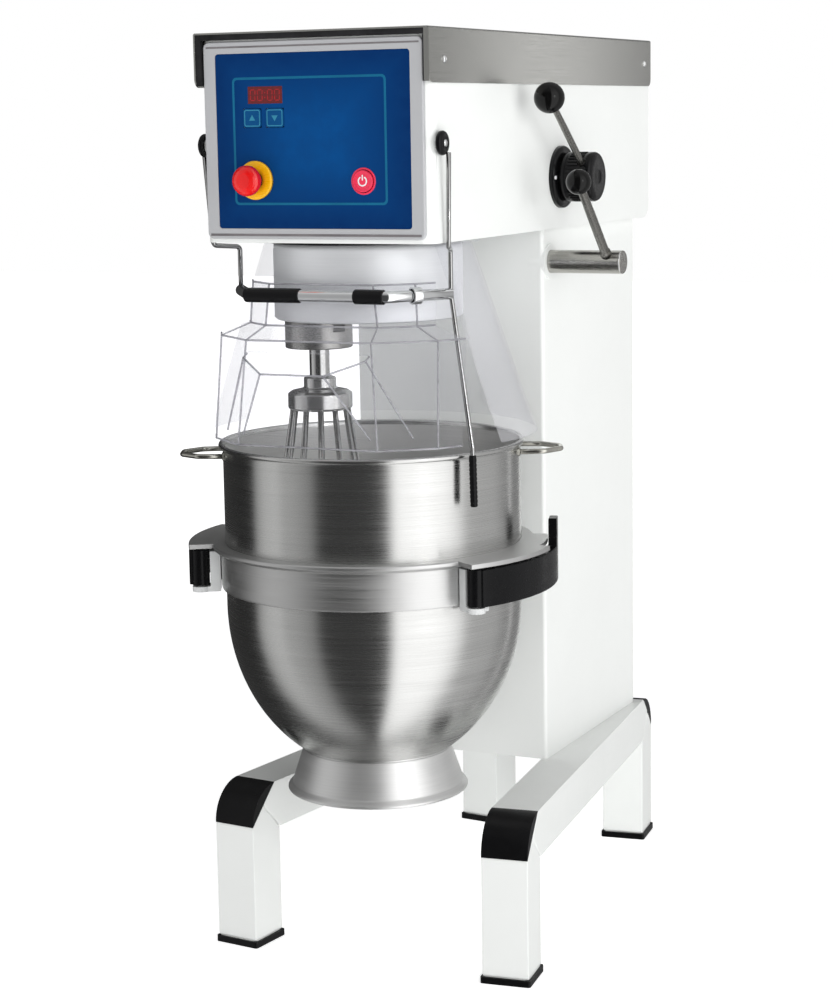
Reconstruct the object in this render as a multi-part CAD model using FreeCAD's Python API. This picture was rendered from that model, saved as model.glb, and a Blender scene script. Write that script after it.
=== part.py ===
import FreeCAD, Part
import math
import os
from FreeCAD import Vector

# Floor-standing planetary mixer with a 60 litre bowl, in millimetres, +Z up, origin on the floor
# under the middle of its outline. Everything below is drawn about the bowl's own vertical axis
# (x right, y back, z up from the floor), and save() moves it back to the part's frame by BOWL_Y.

# Overall and bowl
BOWL_Y = -263.95
BOWL_R = 222.0
BOWL_WALL = 2.5
RIM_Z = 806.0
BOWL_SIDE_Z = 560.0
BOWL_DEPTH = 258.0
BOWL_FOOT_Z = 272.0
HANDLE_REACH = 286.0
HANDLE_TURN = 25.0

# Base: two square-tube beams, closer together at the back, each on two legs
TUBE = 72.0
TUBE_WALL = 3.5
BEAM_H = 75.0
BEAM_TOP = 254.0
FRONT_LEG_X = 224.0
FRONT_LEG_Y = -12.0
REAR_LEG_X = 135.0
REAR_LEG_Y = 735.0
CORNER_R = 60.0
FOOT_H = 10.0
FOOT_HALF = 39.0

# Column and head
COL_HALF = 162.5
COL_FRONT = 284.0
COL_REAR = 692.0
SHEET = 3.0
HEAD_HALF = 181.5
HEAD_FRONT = -162.0
HEAD_REAR = 719.0
HEAD_BOTTOM = 1104.0
HEAD_WALL = 5.0
HEAD_FLOOR = 6.0
HOOD_HALF = 184.5
HOOD_FRONT = -174.0
HOOD_REAR = 722.0
HOOD_LOW = 1324.0
TOP_Z = 1400.0

# Control panel on the head's front
PANEL_HALF = 172.0
PANEL_LOW = 1110.0
PANEL_HIGH = 1387.0
PANEL_FACE = -169.0
MEMBRANE_HALF = 152.5
MEMBRANE_LOW = 1125.0
MEMBRANE_HIGH = 1370.0
DISPLAY = (-101.0, -46.0, 1300.0, 1324.0)
KEY_CENTRES = {"key_up": -94.5, "key_down": -58.5}
KEY_Z = 1280.0
KEY_W = 28.0
KEY_H = 26.0
START_X = 79.0
START_Z = 1191.0
START_R = 15.5
STOP_X = -91.0
STOP_Z = 1193.0

# Drive train
DRUM_R = 139.5
DRUM_LOW = 988.0
ORBIT_R = 75.0
ORBIT_DEG = 207.0
RING_TEETH = 72
PLANET_TEETH = 22
PLANET_MODULE = 3.0
MAIN_TEETH = 60
PINION_TEETH = 18
MAIN_MODULE = 4.0
LAYSHAFT_Y = MAIN_MODULE * (MAIN_TEETH + PINION_TEETH) / 2
MOTOR_Y = 560.0
MOTOR_R = 85.0
MOTOR_PULLEY_R = 45.0
LAY_PULLEY_R = 100.0
GEAR_LOW = 1238.0
GEAR_HIGH = 1262.0
PULLEY_LOW = 1285.0
PULLEY_HIGH = 1315.0
RUNNING = 0.06

# Bowl lift, moved by the long lever through a crank whose roller runs in a slotted plate
LIFT_Y = 311.0
LIFT_Z = 1052.0
LIFT_SHAFT_R = 18.0
CRANK = 90.0
CRANK_DEG = 50.0
ROLLER_R = 11.0
ROD_X = 50.0
ROD_Y = 318.0
GUIDE_R = 12.0
LIFT_BALL = Vector(266.5, 171.0, 1179.0)
LIFT_BALL_R = 19.0

# Speed lever on the head's right side
SPEED_Y = 312.0
SPEED_Z = 1183.0
SPEED_X = 228.0
SPEED_BALL = Vector(228.0, 153.0, 1303.0)
SPEED_BALL_R = 23.0

# Bowl locks
LOCK_PIVOT_R = 260.0
LOCK_PIVOT_DEG = -30.0
LOCK_PIN_R = 5.0

# Bowl guard: fixed rear screen, and a front screen that tilts on the two side knobs
PIVOT_Y = -142.0
PIVOT_Z = 1242.0
WIRE_R = 3.5
BAR_R = 8.5
BAR_Z = 1030.0
SCREEN = 3.0
SCREEN_LOW = 818.0

ORIGIN = Vector(0, 0, 0)
UP = Vector(0, 0, 1)


# ---------------------------------------------------------------- shapes

def block(x0, x1, y0, y1, z0, z1):
    return Part.makeBox(x1 - x0, y1 - y0, z1 - z0, Vector(x0, y0, z0))


def disc(radius, z0, z1, x=0.0, y=0.0):
    return Part.makeCylinder(radius, z1 - z0, Vector(x, y, z0))


def ring(inner, outer, z0, z1, x=0.0, y=0.0):
    return disc(outer, z0, z1, x, y).cut(disc(inner, z0 - 1, z1 + 1, x, y))


def rod(radius, start, end):
    along = end.sub(start)
    return Part.makeCylinder(radius, along.Length, start, along)


def rod_x(radius, x0, x1, y, z):
    return rod(radius, Vector(x0, y, z), Vector(x1, y, z))


def rod_y(radius, y0, y1, x, z):
    return rod(radius, Vector(x, y0, z), Vector(x, y1, z))


def at(shape, x=0.0, y=0.0, z=0.0):
    moved = shape.copy()
    moved.translate(Vector(x, y, z))
    return moved


def turned(shape, degrees, centre=ORIGIN, axis=UP):
    moved = shape.copy()
    moved.rotate(centre, axis, degrees)
    return moved


def mirrored(shape):
    return shape.mirror(ORIGIN, Vector(1, 0, 0))


def both_sides(shape):
    return Part.makeCompound([mirrored(shape), shape])


def fused(shapes):
    whole = shapes[0]
    for shape in shapes[1:]:
        whole = whole.fuse(shape)
    return whole.removeSplitter()


def polar(radius, degrees, z=0.0):
    angle = math.radians(degrees)
    return Vector(radius * math.cos(angle), radius * math.sin(angle), z)


def prism(points, z0, z1):
    outline = [Vector(x, y, z0) for x, y in points]
    face = Part.Face(Part.makePolygon(outline + outline[:1]))
    return face.extrude(Vector(0, 0, z1 - z0))


def hexagon(radius):
    corners = [math.pi / 3 * index for index in range(6)]
    return [(radius * math.cos(angle), radius * math.sin(angle)) for angle in corners]


def side_plate(points, x0, x1):
    """A plate whose outline lies in the (y, z) plane."""
    outline = [Vector(x0, y, z) for y, z in points]
    face = Part.Face(Part.makePolygon(outline + outline[:1]))
    return face.extrude(Vector(x1 - x0, 0, 0))


def revolved(points):
    """A closed (radius, z) outline turned about the bowl's axis."""
    outline = [Vector(r, 0, z) for r, z in points]
    face = Part.Face(Part.makePolygon(outline + outline[:1]))
    return face.revolve(ORIGIN, UP, 360)


def sector(reach, start, end, z0, z1):
    """A wedge from the bowl's axis between two angles, for cutting or keeping an arc."""
    wedge = Part.makeCylinder(reach, z1 - z0, Vector(0, 0, z0), UP, end - start)
    return turned(wedge, start)


def arc_block(inner, outer, start, end, z0, z1):
    return ring(inner, outer, z0, z1).common(sector(outer + 10, start, end, z0 - 1, z1 + 1))


def rounded_path(points, bend):
    """A wire through the points, with each inner corner rounded to the bend radius."""
    edges = []
    here = points[0]
    for before, corner, after in zip(points, points[1:], points[2:]):
        into = corner.sub(before).normalize()
        out = after.sub(corner).normalize()
        half = math.acos(max(-1.0, min(1.0, into.dot(out)))) / 2
        cut = bend * math.tan(half)
        first = corner.sub(Vector(into).multiply(cut))
        last = corner.add(Vector(out).multiply(cut))
        inward = Vector(out).sub(into).normalize()
        middle = corner.add(inward.multiply(bend / math.cos(half) - bend))
        edges.append(Part.LineSegment(here, first).toShape())
        edges.append(Part.Arc(first, middle, last).toShape())
        here = last
    edges.append(Part.LineSegment(here, points[-1]).toShape())
    return Part.Wire(edges)


def bent_rod(points, radius, bend):
    path = rounded_path(points, bend)
    along = points[1].sub(points[0])
    section = Part.Wire(Part.makeCircle(radius, points[0], along))
    return path.makePipeShell([section], True, False)


def fillet(shape, radius, chosen):
    edges = [edge for edge in shape.Edges if chosen(edge.CenterOfMass, edge.BoundBox)]
    return shape.makeFillet(radius, edges)


def gear_outline(teeth, tip, root, flank, phase):
    """Outline of a wheel: each tooth is a trapezium that is narrower at the tip.

    tip and root are radii, and flank is the half width of a tooth at the tip and at the root,
    as parts of the pitch."""
    pitch = 2 * math.pi / teeth
    points = []
    for index in range(teeth):
        middle = index * pitch + math.radians(phase)
        for radius, offset in ((root, -flank[1]), (tip, -flank[0]), (tip, flank[0]), (root, flank[1])):
            angle = middle + offset * pitch
            points.append((radius * math.cos(angle), radius * math.sin(angle)))
    return points


def spur_gear(teeth, module, z0, z1, phase):
    pitch_r = teeth * module / 2
    outline = gear_outline(teeth, pitch_r + 0.8 * module, pitch_r - 1.2 * module, (0.10, 0.31), phase)
    return prism(outline, z0, z1)


def internal_gear(teeth, module, outer, z0, z1, phase):
    pitch_r = teeth * module / 2
    outline = gear_outline(teeth, pitch_r + 1.2 * module, pitch_r - 0.8 * module, (0.16, 0.40), phase)
    return disc(outer, z0, z1).cut(prism(outline, z0 - 1, z1 + 1))


# ---------------------------------------------------------------- base

BEAM_RUN = math.hypot(FRONT_LEG_X - REAR_LEG_X, REAR_LEG_Y - FRONT_LEG_Y)
SPLAY = math.degrees(math.atan2(FRONT_LEG_X - REAR_LEG_X, REAR_LEG_Y - FRONT_LEG_Y))
HALF = TUBE / 2
BEAM_LOW = BEAM_TOP - BEAM_H
CHORD_BACK = CORNER_R - HALF
CHORD_LOW = BEAM_TOP - CORNER_R
MITRE_RISE = BEAM_H / TUBE
MITRE_AT = (BEAM_LOW + HALF * MITRE_RISE - CHORD_LOW - HALF) / (1 + MITRE_RISE)
MITRE = (MITRE_AT, CHORD_LOW + HALF + MITRE_AT)


def place_on_side(shape, side):
    """Moves a shape drawn about the front leg, with the beam along +y, to its side."""
    return at(turned(shape, side * SPLAY), side * FRONT_LEG_X, FRONT_LEG_Y)


def turned_back(shape):
    """The same corner at the beam's other end."""
    return at(turned(shape, 180), 0, BEAM_RUN)


def beam(side):
    front = [(HALF, BEAM_LOW), MITRE, (CHORD_BACK, BEAM_TOP)]
    back = [(BEAM_RUN - y, z) for y, z in reversed(front)]
    tube = side_plate(front + back, -HALF, HALF)
    inside = HALF - TUBE_WALL
    hollow = block(-inside, inside, -TUBE, BEAM_RUN + TUBE, BEAM_LOW + TUBE_WALL, BEAM_TOP - TUBE_WALL)
    return place_on_side(tube.cut(hollow), side)


def leg():
    outline = [(-HALF, FOOT_H), (HALF, FOOT_H), (HALF, BEAM_LOW), MITRE, (-HALF, CHORD_LOW)]
    inside = HALF - TUBE_WALL
    return side_plate(outline, -HALF, HALF).cut(block(-inside, inside, -inside, inside, 0, BEAM_TOP))


def corner_cap():
    """Quarter-round moulding over the cut corner of a beam and its leg."""
    top = Vector(-HALF, CHORD_BACK, BEAM_TOP)
    low = Vector(-HALF, -HALF, CHORD_LOW)
    middle = Vector(-HALF, CHORD_BACK - CORNER_R * math.sqrt(0.5), CHORD_LOW + CORNER_R * math.sqrt(0.5))
    face = Part.Face(Part.Wire([Part.Arc(top, middle, low).toShape(), Part.LineSegment(low, top).toShape()]))
    return face.extrude(Vector(TUBE, 0, 0))


def foot_cap():
    plug = HALF - TUBE_WALL - 1.0
    pad = block(-FOOT_HALF, FOOT_HALF, -FOOT_HALF, FOOT_HALF, 0, FOOT_H)
    pad = fillet(pad, 4.0, lambda centre, box: box.ZLength > FOOT_H / 2)
    return pad.fuse(block(-plug, plug, -plug, plug, FOOT_H, FOOT_H + 22.0))


def on_all_corners(shape):
    placed = []
    for side in (-1, 1):
        placed.append(place_on_side(shape, side))
        placed.append(place_on_side(turned_back(shape), side))
    return Part.makeCompound(placed)


# ---------------------------------------------------------------- column

COLUMN_BACK = COL_REAR - SHEET
SLOT_HALF = 62.0
NECK_LOW = 588.0
NECK_HIGH = 650.0
LIFT_TRAVEL = 2 * CRANK * math.sin(math.radians(CRANK_DEG))


BASE_BOLTS = [(sx * x, y) for sx in (-1, 1) for x, y in ((144.0, 470.0), (138.0, 640.0))]


def column_shell():
    inside = COL_HALF - SHEET
    shell = block(-COL_HALF, COL_HALF, COL_FRONT, COLUMN_BACK, BEAM_TOP, HEAD_BOTTOM)
    shell = fillet(shell, 6.0, lambda centre, box: box.ZLength > 500 and centre.y < COL_FRONT + 1)
    shell = shell.cut(block(-inside, inside, COL_FRONT + SHEET, COL_REAR, BEAM_TOP - 1, HEAD_BOTTOM + 1))
    slot = block(-SLOT_HALF, SLOT_HALF, COL_FRONT - 1, COL_FRONT + SHEET + 1,
                 NECK_LOW - LIFT_TRAVEL - 10, NECK_HIGH + 10)
    lips = [block(sx * (inside - 18) - 18, sx * (inside - 18) + 18, COLUMN_BACK - SHEET, COLUMN_BACK,
                  BEAM_TOP, HEAD_BOTTOM) for sx in (-1, 1)]
    boss = rod_x(LIFT_SHAFT_R + 10, COL_HALF - 24, COL_HALF + 3, LIFT_Y, LIFT_Z)
    shell = fused([shell.cut(slot), boss] + lips)
    return shell.cut(rod_x(LIFT_SHAFT_R + RUNNING, COL_HALF - 40, COL_HALF + 20, LIFT_Y, LIFT_Z))


def column_floor():
    inside = COL_HALF - SHEET - 0.5
    front = COL_FRONT + SHEET + 0.5
    plate = block(-inside, inside, front, COLUMN_BACK - SHEET - 0.5, BEAM_TOP, BEAM_TOP + 10)
    for x, y in BASE_BOLTS:
        plate = plate.cut(disc(6.0, BEAM_TOP - 1, BEAM_TOP + 11, x, y))
    return plate


def base_bolts():
    """Hexagon bolts that hold the column's floor on the beams."""
    bolts = []
    for x, y in BASE_BOLTS:
        head = prism(hexagon(11.0), BEAM_TOP + 10, BEAM_TOP + 18)
        bolts.append(at(head.fuse(disc(6.0, BEAM_TOP, BEAM_TOP + 12)), x, y))
    return Part.makeCompound(bolts)


REAR_SCREWS = [(sx * (COL_HALF - 12), z) for sx in (-1, 1) for z in (300.0, 560.0, 820.0, 1070.0)]


def rear_cover():
    plate = block(-COL_HALF, COL_HALF, COLUMN_BACK, COL_REAR, BEAM_TOP + 2, HEAD_BOTTOM - 2)
    plate = fillet(plate, 6.0, lambda centre, box: box.YLength > SHEET / 2 and box.ZLength < 1)
    for row in range(6):
        z = 880.0 + 24.0 * row
        plate = plate.cut(block(-90, 90, COLUMN_BACK - 1, COL_REAR + 1, z, z + 7))
    for x, z in REAR_SCREWS:
        plate = plate.cut(rod_y(2.6, COLUMN_BACK - 1, COL_REAR + 1, x, z))
    return plate.cut(rod_y(11.0, COLUMN_BACK - 1, COL_REAR + 1, 0, 340.0))


def mains_gland():
    """Cable entry: threaded body through the rear cover, with a hexagon and a domed nut."""
    nut = disc(13.0, 9, 24).fuse(Part.makeCone(13.0, 9.0, 6, Vector(0, 0, 24)))
    body = fused([disc(10.9, -14, 0.5), prism(hexagon(15.0), 0, 9), nut]).cut(disc(5.0, -20, 40))
    body.rotate(ORIGIN, Vector(1, 0, 0), -90)
    return at(body, 0, COL_REAR, 340.0)


# ---------------------------------------------------------------- head

COVER_SCREWS = [(-124.0, 1356.0), (689.0, 1361.0)]


def head_shell():
    top = TOP_Z - 8
    shell = block(-HEAD_HALF, HEAD_HALF, HEAD_FRONT, HEAD_REAR, HEAD_BOTTOM, top)
    shell = fillet(shell, 20.0, lambda centre, box: box.ZLength > 200 and centre.y < HEAD_FRONT + 1)
    shell = fillet(shell, 24.0, lambda centre, box: box.XLength > 300 and centre.y > HEAD_REAR - 1
                   and centre.z < HEAD_BOTTOM + 1)
    wall = HEAD_WALL
    room = block(-HEAD_HALF + wall, HEAD_HALF - wall, HEAD_FRONT + wall, HEAD_REAR - wall,
                 HEAD_BOTTOM + HEAD_FLOOR, TOP_Z)
    room = fillet(room, 18.0, lambda centre, box: box.ZLength > 200 and centre.y < HEAD_FRONT + wall + 1)
    room = fillet(room, 18.0, lambda centre, box: box.XLength > 300 and centre.y > HEAD_REAR - wall - 1
                  and centre.z < HEAD_BOTTOM + HEAD_FLOOR + 1)
    shell = shell.cut(room)
    shell = shell.cut(disc(52.0, HEAD_BOTTOM - 1, HEAD_BOTTOM + HEAD_FLOOR + 1))
    shell = shell.cut(block(-120, 120, 325, 660, HEAD_BOTTOM - 1, HEAD_BOTTOM + HEAD_FLOOR + 1))
    shell = shell.cut(block(-140, 140, HEAD_FRONT - 1, HEAD_FRONT + wall + 1, 1140, 1355))
    shell = shell.cut(rod_x(14.0, HEAD_HALF - 10, HEAD_HALF + 10, SPEED_Y, SPEED_Z))
    for sx in (-1, 1):
        pin = rod_x(6.0 + RUNNING, HEAD_HALF - 10, HEAD_HALF + 10, PIVOT_Y, PIVOT_Z)
        shell = shell.cut(pin if sx > 0 else mirrored(pin))
    return shell


def top_cover():
    sheet = 2.5
    hood = block(-HOOD_HALF, HOOD_HALF, HOOD_FRONT, HOOD_REAR, HOOD_LOW, TOP_Z)
    hood = fillet(hood, 12.0, lambda centre, box: box.XLength > 300 and centre.z < HOOD_LOW + 1)
    hood = fillet(hood, 3.0, lambda centre, box: box.YLength > 500 and centre.z > TOP_Z - 1)
    inner = HOOD_HALF - sheet
    hood = hood.cut(block(-inner, inner, HOOD_FRONT - 1, HOOD_REAR - sheet, HOOD_LOW - 1, TOP_Z - sheet))
    for y, z in COVER_SCREWS:
        hood = hood.cut(rod_x(3.2, -HOOD_HALF - 1, HOOD_HALF + 1, y, z))
    return hood


def cover_seal():
    """Black edge strip under the front of the steel cover."""
    inner = HOOD_HALF - 2.5
    top = TOP_Z - 2.5
    strip = 8.0
    outer = block(-inner, inner, HOOD_FRONT + 1, HEAD_FRONT - 1, HOOD_LOW + 2, top)
    return outer.cut(block(-inner + strip, inner - strip, HOOD_FRONT, HEAD_FRONT, HOOD_LOW, top - strip))


def pan_screw(radius, length):
    """A round-head screw along +z, with its head above z = 0."""
    dome = Part.makeSphere(radius * 1.25, Vector(0, 0, -radius * 0.75))
    head = dome.common(disc(radius * 1.3, 0, radius))
    return head.fuse(disc(radius * 0.5, -length, 0))


def cover_screws():
    screws = []
    for y, z in COVER_SCREWS:
        screw = pan_screw(5.5, 3.0)
        screw.rotate(ORIGIN, Vector(0, 1, 0), 90)
        screw = at(screw, HOOD_HALF, y, z)
        screws += [screw, mirrored(screw)]
    for x, z in REAR_SCREWS:
        screw = pan_screw(5.0, 2.0)
        screw.rotate(ORIGIN, Vector(1, 0, 0), -90)
        screws.append(at(screw, x, COL_REAR, z))
    return Part.makeCompound(screws)


# ---------------------------------------------------------------- control panel

def rounded_plate(half_w, z0, z1, y0, y1, radius, centre=0.0):
    plate = block(centre - half_w, centre + half_w, y0, y1, z0, z1)
    return fillet(plate, radius, lambda middle, box: box.YLength > (y1 - y0) / 2)


def panel_holes(grow):
    """The openings for the keys, the start button and the stop button."""
    cutters = [rod_y(START_R + grow, PANEL_FACE - 5, HEAD_FRONT + 5, START_X, START_Z),
               rod_y(11.7 + grow, PANEL_FACE - 5, HEAD_FRONT + 5, STOP_X, STOP_Z)]
    for x in KEY_CENTRES.values():
        cutters.append(block(x - KEY_W / 2 - grow, x + KEY_W / 2 + grow, PANEL_FACE - 5, HEAD_FRONT + 5,
                             KEY_Z - KEY_H / 2 - grow, KEY_Z + KEY_H / 2 + grow))
    return cutters


def panel_bezel():
    plate = rounded_plate(PANEL_HALF, PANEL_LOW, PANEL_HIGH, PANEL_FACE, HEAD_FRONT, 9.0)
    plate = fillet(plate, 2.0, lambda centre, box: box.YLength < 0.1 and centre.y < PANEL_FACE + 0.1)
    plate = plate.cut(rounded_plate(MEMBRANE_HALF + 0.3, MEMBRANE_LOW - 0.3, MEMBRANE_HIGH + 0.3,
                                    PANEL_FACE - 1, PANEL_FACE + 2.5, 5.0))
    for cutter in panel_holes(0.5):
        plate = plate.cut(cutter)
    return plate


def panel_membrane():
    sheet = rounded_plate(MEMBRANE_HALF, MEMBRANE_LOW, MEMBRANE_HIGH, PANEL_FACE + 0.6, PANEL_FACE + 2.5, 4.7)
    for cutter in panel_holes(0.5):
        sheet = sheet.cut(cutter)
    x0, x1, z0, z1 = DISPLAY
    return sheet.cut(block(x0, x1, PANEL_FACE - 1, PANEL_FACE + 5, z0, z1))


def display_window():
    x0, x1, z0, z1 = DISPLAY
    return block(x0, x1, PANEL_FACE + 0.3, PANEL_FACE + 2.5, z0, z1)


def key(x):
    pad = block(x - KEY_W / 2, x + KEY_W / 2, PANEL_FACE - 0.4, PANEL_FACE + 5.0,
                KEY_Z - KEY_H / 2, KEY_Z + KEY_H / 2)
    pad = fillet(pad, 4.0, lambda centre, box: box.YLength > 3)
    return pad


def start_button():
    button = rod_y(START_R, PANEL_FACE - 4, PANEL_FACE + 5.5, START_X, START_Z)
    return fillet(button, 1.8, lambda centre, box: centre.y < PANEL_FACE - 3.5)


def control_board():
    """Circuit board behind the panel, on four spacers."""
    board = block(-125, 0, -140.0, -137.5, 1235, 1350)
    parts = [board, block(-104, -43, -150, -140, 1297, 1327), block(-60, -20, -137.5, -128, 1268, 1292)]
    for x in (-120.0, -5.0):
        for z in (1240.0, 1345.0):
            parts.append(rod_y(4.0, HEAD_FRONT, -140.0, x, z))
    return fused(parts)


STOP_FACE = PANEL_FACE + 0.6
STOP_STEM_END = -186.0


def estop_collar():
    collar = rod_y(27.5, STOP_FACE - 6, STOP_FACE, STOP_X, STOP_Z)
    collar = fillet(collar, 2.0, lambda centre, box: centre.y < STOP_FACE - 5.5)
    return collar.cut(rod_y(12.2, STOP_FACE - 10, STOP_FACE + 5, STOP_X, STOP_Z))


def estop_stem():
    return rod_y(11.7, STOP_STEM_END, -150.0, STOP_X, STOP_Z)


def estop_mushroom():
    outline = [(0, 0.3), (15.0, 0.3), (21.5, 5.0), (21.5, 13.0), (18.5, 18.5), (12.0, 21.5), (0, 22.5)]
    head = revolved(outline)
    head = fillet(head, 2.0, lambda centre, box: 12 < centre.z < 20 and box.XLength > 30)
    head.rotate(ORIGIN, Vector(1, 0, 0), 90)
    return at(head, STOP_X, STOP_STEM_END, STOP_Z)


# ---------------------------------------------------------------- drive train

def v_pulley(radius, bore, y):
    """A one-groove pulley; the belt's outer face is level with its rim."""
    middle = (PULLEY_LOW + PULLEY_HIGH) / 2
    outline = [(bore, PULLEY_LOW), (radius, PULLEY_LOW), (radius, middle - 9), (radius - 13, middle - 5),
               (radius - 13, middle + 5), (radius, middle + 9), (radius, PULLEY_HIGH), (bore, PULLEY_HIGH)]
    return at(revolved(outline), 0, y)


def drive_belt():
    """The belt's loop: a band round both pulleys with straight runs between them."""
    middle = (PULLEY_LOW + PULLEY_HIGH) / 2
    loops = []
    for shrink, half in ((0.5, 5.8), (9.0, 20.0)):
        small = MOTOR_PULLEY_R - shrink
        large = LAY_PULLEY_R - shrink
        run = MOTOR_Y - LAYSHAFT_Y
        lean = math.asin((large - small) / run)
        sides = [(sx * r * math.cos(lean), y + r * math.sin(lean))
                 for sx, r, y in ((1, large, LAYSHAFT_Y), (1, small, MOTOR_Y),
                                  (-1, small, MOTOR_Y), (-1, large, LAYSHAFT_Y))]
        z0, z1 = middle - half, middle + half
        loops.append(fused([prism(sides, z0, z1), disc(large, z0, z1, 0, LAYSHAFT_Y),
                            disc(small, z0, z1, 0, MOTOR_Y)]))
    return loops[0].cut(loops[1])


def motor():
    body = disc(MOTOR_R, 880, 1100, 0, MOTOR_Y)
    for index in range(24):
        groove = block(MOTOR_R - 5, MOTOR_R + 5, -3, 3, 900, 1070)
        body = body.cut(at(turned(groove, 15.0 * index), 0, MOTOR_Y))
    fan_cowl = disc(MOTOR_R - 4, 840, 880, 0, MOTOR_Y)
    flange = block(-118, 118, MOTOR_Y - 98, MOTOR_Y + 98, 1100, 1110)
    spigot = disc(40, 1110, 1122, 0, MOTOR_Y)
    return fused([body, fan_cowl, flange, spigot]).cut(disc(12 + RUNNING, 1000, 1130, 0, MOTOR_Y))


def motor_pulley():
    return v_pulley(MOTOR_PULLEY_R, 6.0, MOTOR_Y).fuse(disc(12.0, 1010, PULLEY_HIGH + 8, 0, MOTOR_Y))


def layshaft():
    """Second shaft: the belt's large pulley and the pinion that turns the main gear."""
    pinion = at(spur_gear(PINION_TEETH, MAIN_MODULE, GEAR_LOW, GEAR_HIGH, 0.0), 0, LAYSHAFT_Y)
    shaft = disc(15.0, 1116, PULLEY_HIGH + 6, 0, LAYSHAFT_Y)
    return fused([shaft, pinion, v_pulley(LAY_PULLEY_R, 10.0, LAYSHAFT_Y)])


SHAFT_R = 22.0
HOUSING_BORE = 40.0


def main_gear():
    blank = spur_gear(MAIN_TEETH, MAIN_MODULE, GEAR_LOW, GEAR_HIGH, 0.0)
    for index in range(6):
        hole = polar(76, 60 * index + 30)
        blank = blank.cut(disc(24, GEAR_LOW - 1, GEAR_HIGH + 1, hole.x, hole.y))
    hub = ring(SHAFT_R, 40, GEAR_LOW - 4, GEAR_HIGH + 8)
    return blank.cut(disc(SHAFT_R, GEAR_LOW - 9, GEAR_HIGH + 9)).fuse(hub)


def main_shaft():
    return disc(SHAFT_R, DRUM_LOW + 4, GEAR_HIGH + 14)


def gear_housing():
    """Casting on the head's floor that carries the main shaft's and the layshaft's bearings."""
    floor = HEAD_BOTTOM + HEAD_FLOOR
    flange = disc(104, floor, 1124)
    barrel = disc(51, HEAD_BOTTOM, GEAR_LOW - 14)
    ribs = [turned(block(40, 98, -4, 4, 1124, 1170), 60 * index + 30) for index in range(6)]
    tower = disc(30, floor, GEAR_LOW - 10, 0, LAYSHAFT_Y)
    foot = disc(60, floor, 1124, 0, LAYSHAFT_Y)
    casting = fused([flange, barrel, foot, tower] + ribs).cut(disc(HOUSING_BORE, HEAD_BOTTOM - 1, GEAR_LOW))
    return casting.cut(disc(15 + RUNNING, floor - 1, GEAR_LOW, 0, LAYSHAFT_Y))


def main_bearings():
    inner = SHAFT_R + RUNNING
    return Part.makeCompound([ring(inner, HOUSING_BORE, 1108, 1131), ring(inner, HOUSING_BORE, 1196, 1219)])


def ring_gear():
    """Fixed ring with inner teeth, hung under the head inside the drum."""
    teeth = internal_gear(RING_TEETH, PLANET_MODULE, 125.0, 1046, 1076, ORBIT_DEG)
    return teeth.fuse(ring(114, 125, 1076, HEAD_BOTTOM))


def drum_seal():
    return ring(127.5, 146.0, HEAD_BOTTOM - 4, HEAD_BOTTOM)


def tool_axis():
    return polar(ORBIT_R, ORBIT_DEG)


PLANET_BORE = 30.0


def planet_drum():
    axis = tool_axis()
    top = HEAD_BOTTOM - 4.5
    floor = DRUM_LOW + 22
    skirt = revolved([(0, DRUM_LOW), (DRUM_R - 3, DRUM_LOW), (DRUM_R, DRUM_LOW + 3), (DRUM_R, top),
                      (DRUM_R - 9, top), (DRUM_R - 9, floor), (0, floor)])
    boss = disc(PLANET_BORE + 8, DRUM_LOW + 20, DRUM_LOW + 52, axis.x, axis.y)
    hub = disc(SHAFT_R + 14, DRUM_LOW + 20, DRUM_LOW + 46)
    drum = fused([skirt, boss, hub])
    drum = drum.cut(disc(PLANET_BORE, DRUM_LOW - 1, DRUM_LOW + 60, axis.x, axis.y))
    return drum.cut(disc(SHAFT_R, DRUM_LOW + 4, DRUM_LOW + 60))


def planet_bearings():
    axis = tool_axis()
    inner = 17.0 + RUNNING
    return Part.makeCompound([ring(inner, PLANET_BORE, DRUM_LOW + 2, DRUM_LOW + 20, axis.x, axis.y),
                              ring(inner, PLANET_BORE, DRUM_LOW + 32, DRUM_LOW + 50, axis.x, axis.y)])


HUB_LOW = 944.0
HUB_HIGH = 984.0


def planet_pinion():
    """Planet wheel and the shaft that carries the tool."""
    axis = tool_axis()
    wheel = spur_gear(PLANET_TEETH, PLANET_MODULE, 1048, 1074, ORBIT_DEG)
    shaft = disc(17.0, HUB_LOW + 4, 1080)
    return at(wheel.fuse(shaft), axis.x, axis.y)


def tool_hub():
    """Drive hub under the drum, with the slot that takes the tool's cross pin."""
    axis = tool_axis()
    hub = disc(50.0, HUB_LOW, HUB_HIGH)
    hub = fillet(hub, 2.0, lambda centre, box: centre.z < HUB_LOW + 1)
    hub = hub.cut(disc(17.0, HUB_LOW + 4, HUB_HIGH + 1))
    for angle in (-25.0, 155.0):
        notch = block(26, 60, -11, 11, HUB_HIGH - 15, HUB_HIGH + 1)
        hub = hub.cut(turned(notch, angle))
    return at(hub, axis.x, axis.y)


WHISK_TOP = 860.0
WHISK_R = 98.0
WHISK_MID = 482.0
WHISK_HUB_R = 42.0
WHISK_PLATE_R = 48.0
WHISK_WIRES = 12
WHISK_WIRE_R = 2.8
WHISK_TIP_DEG = -83.0


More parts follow.
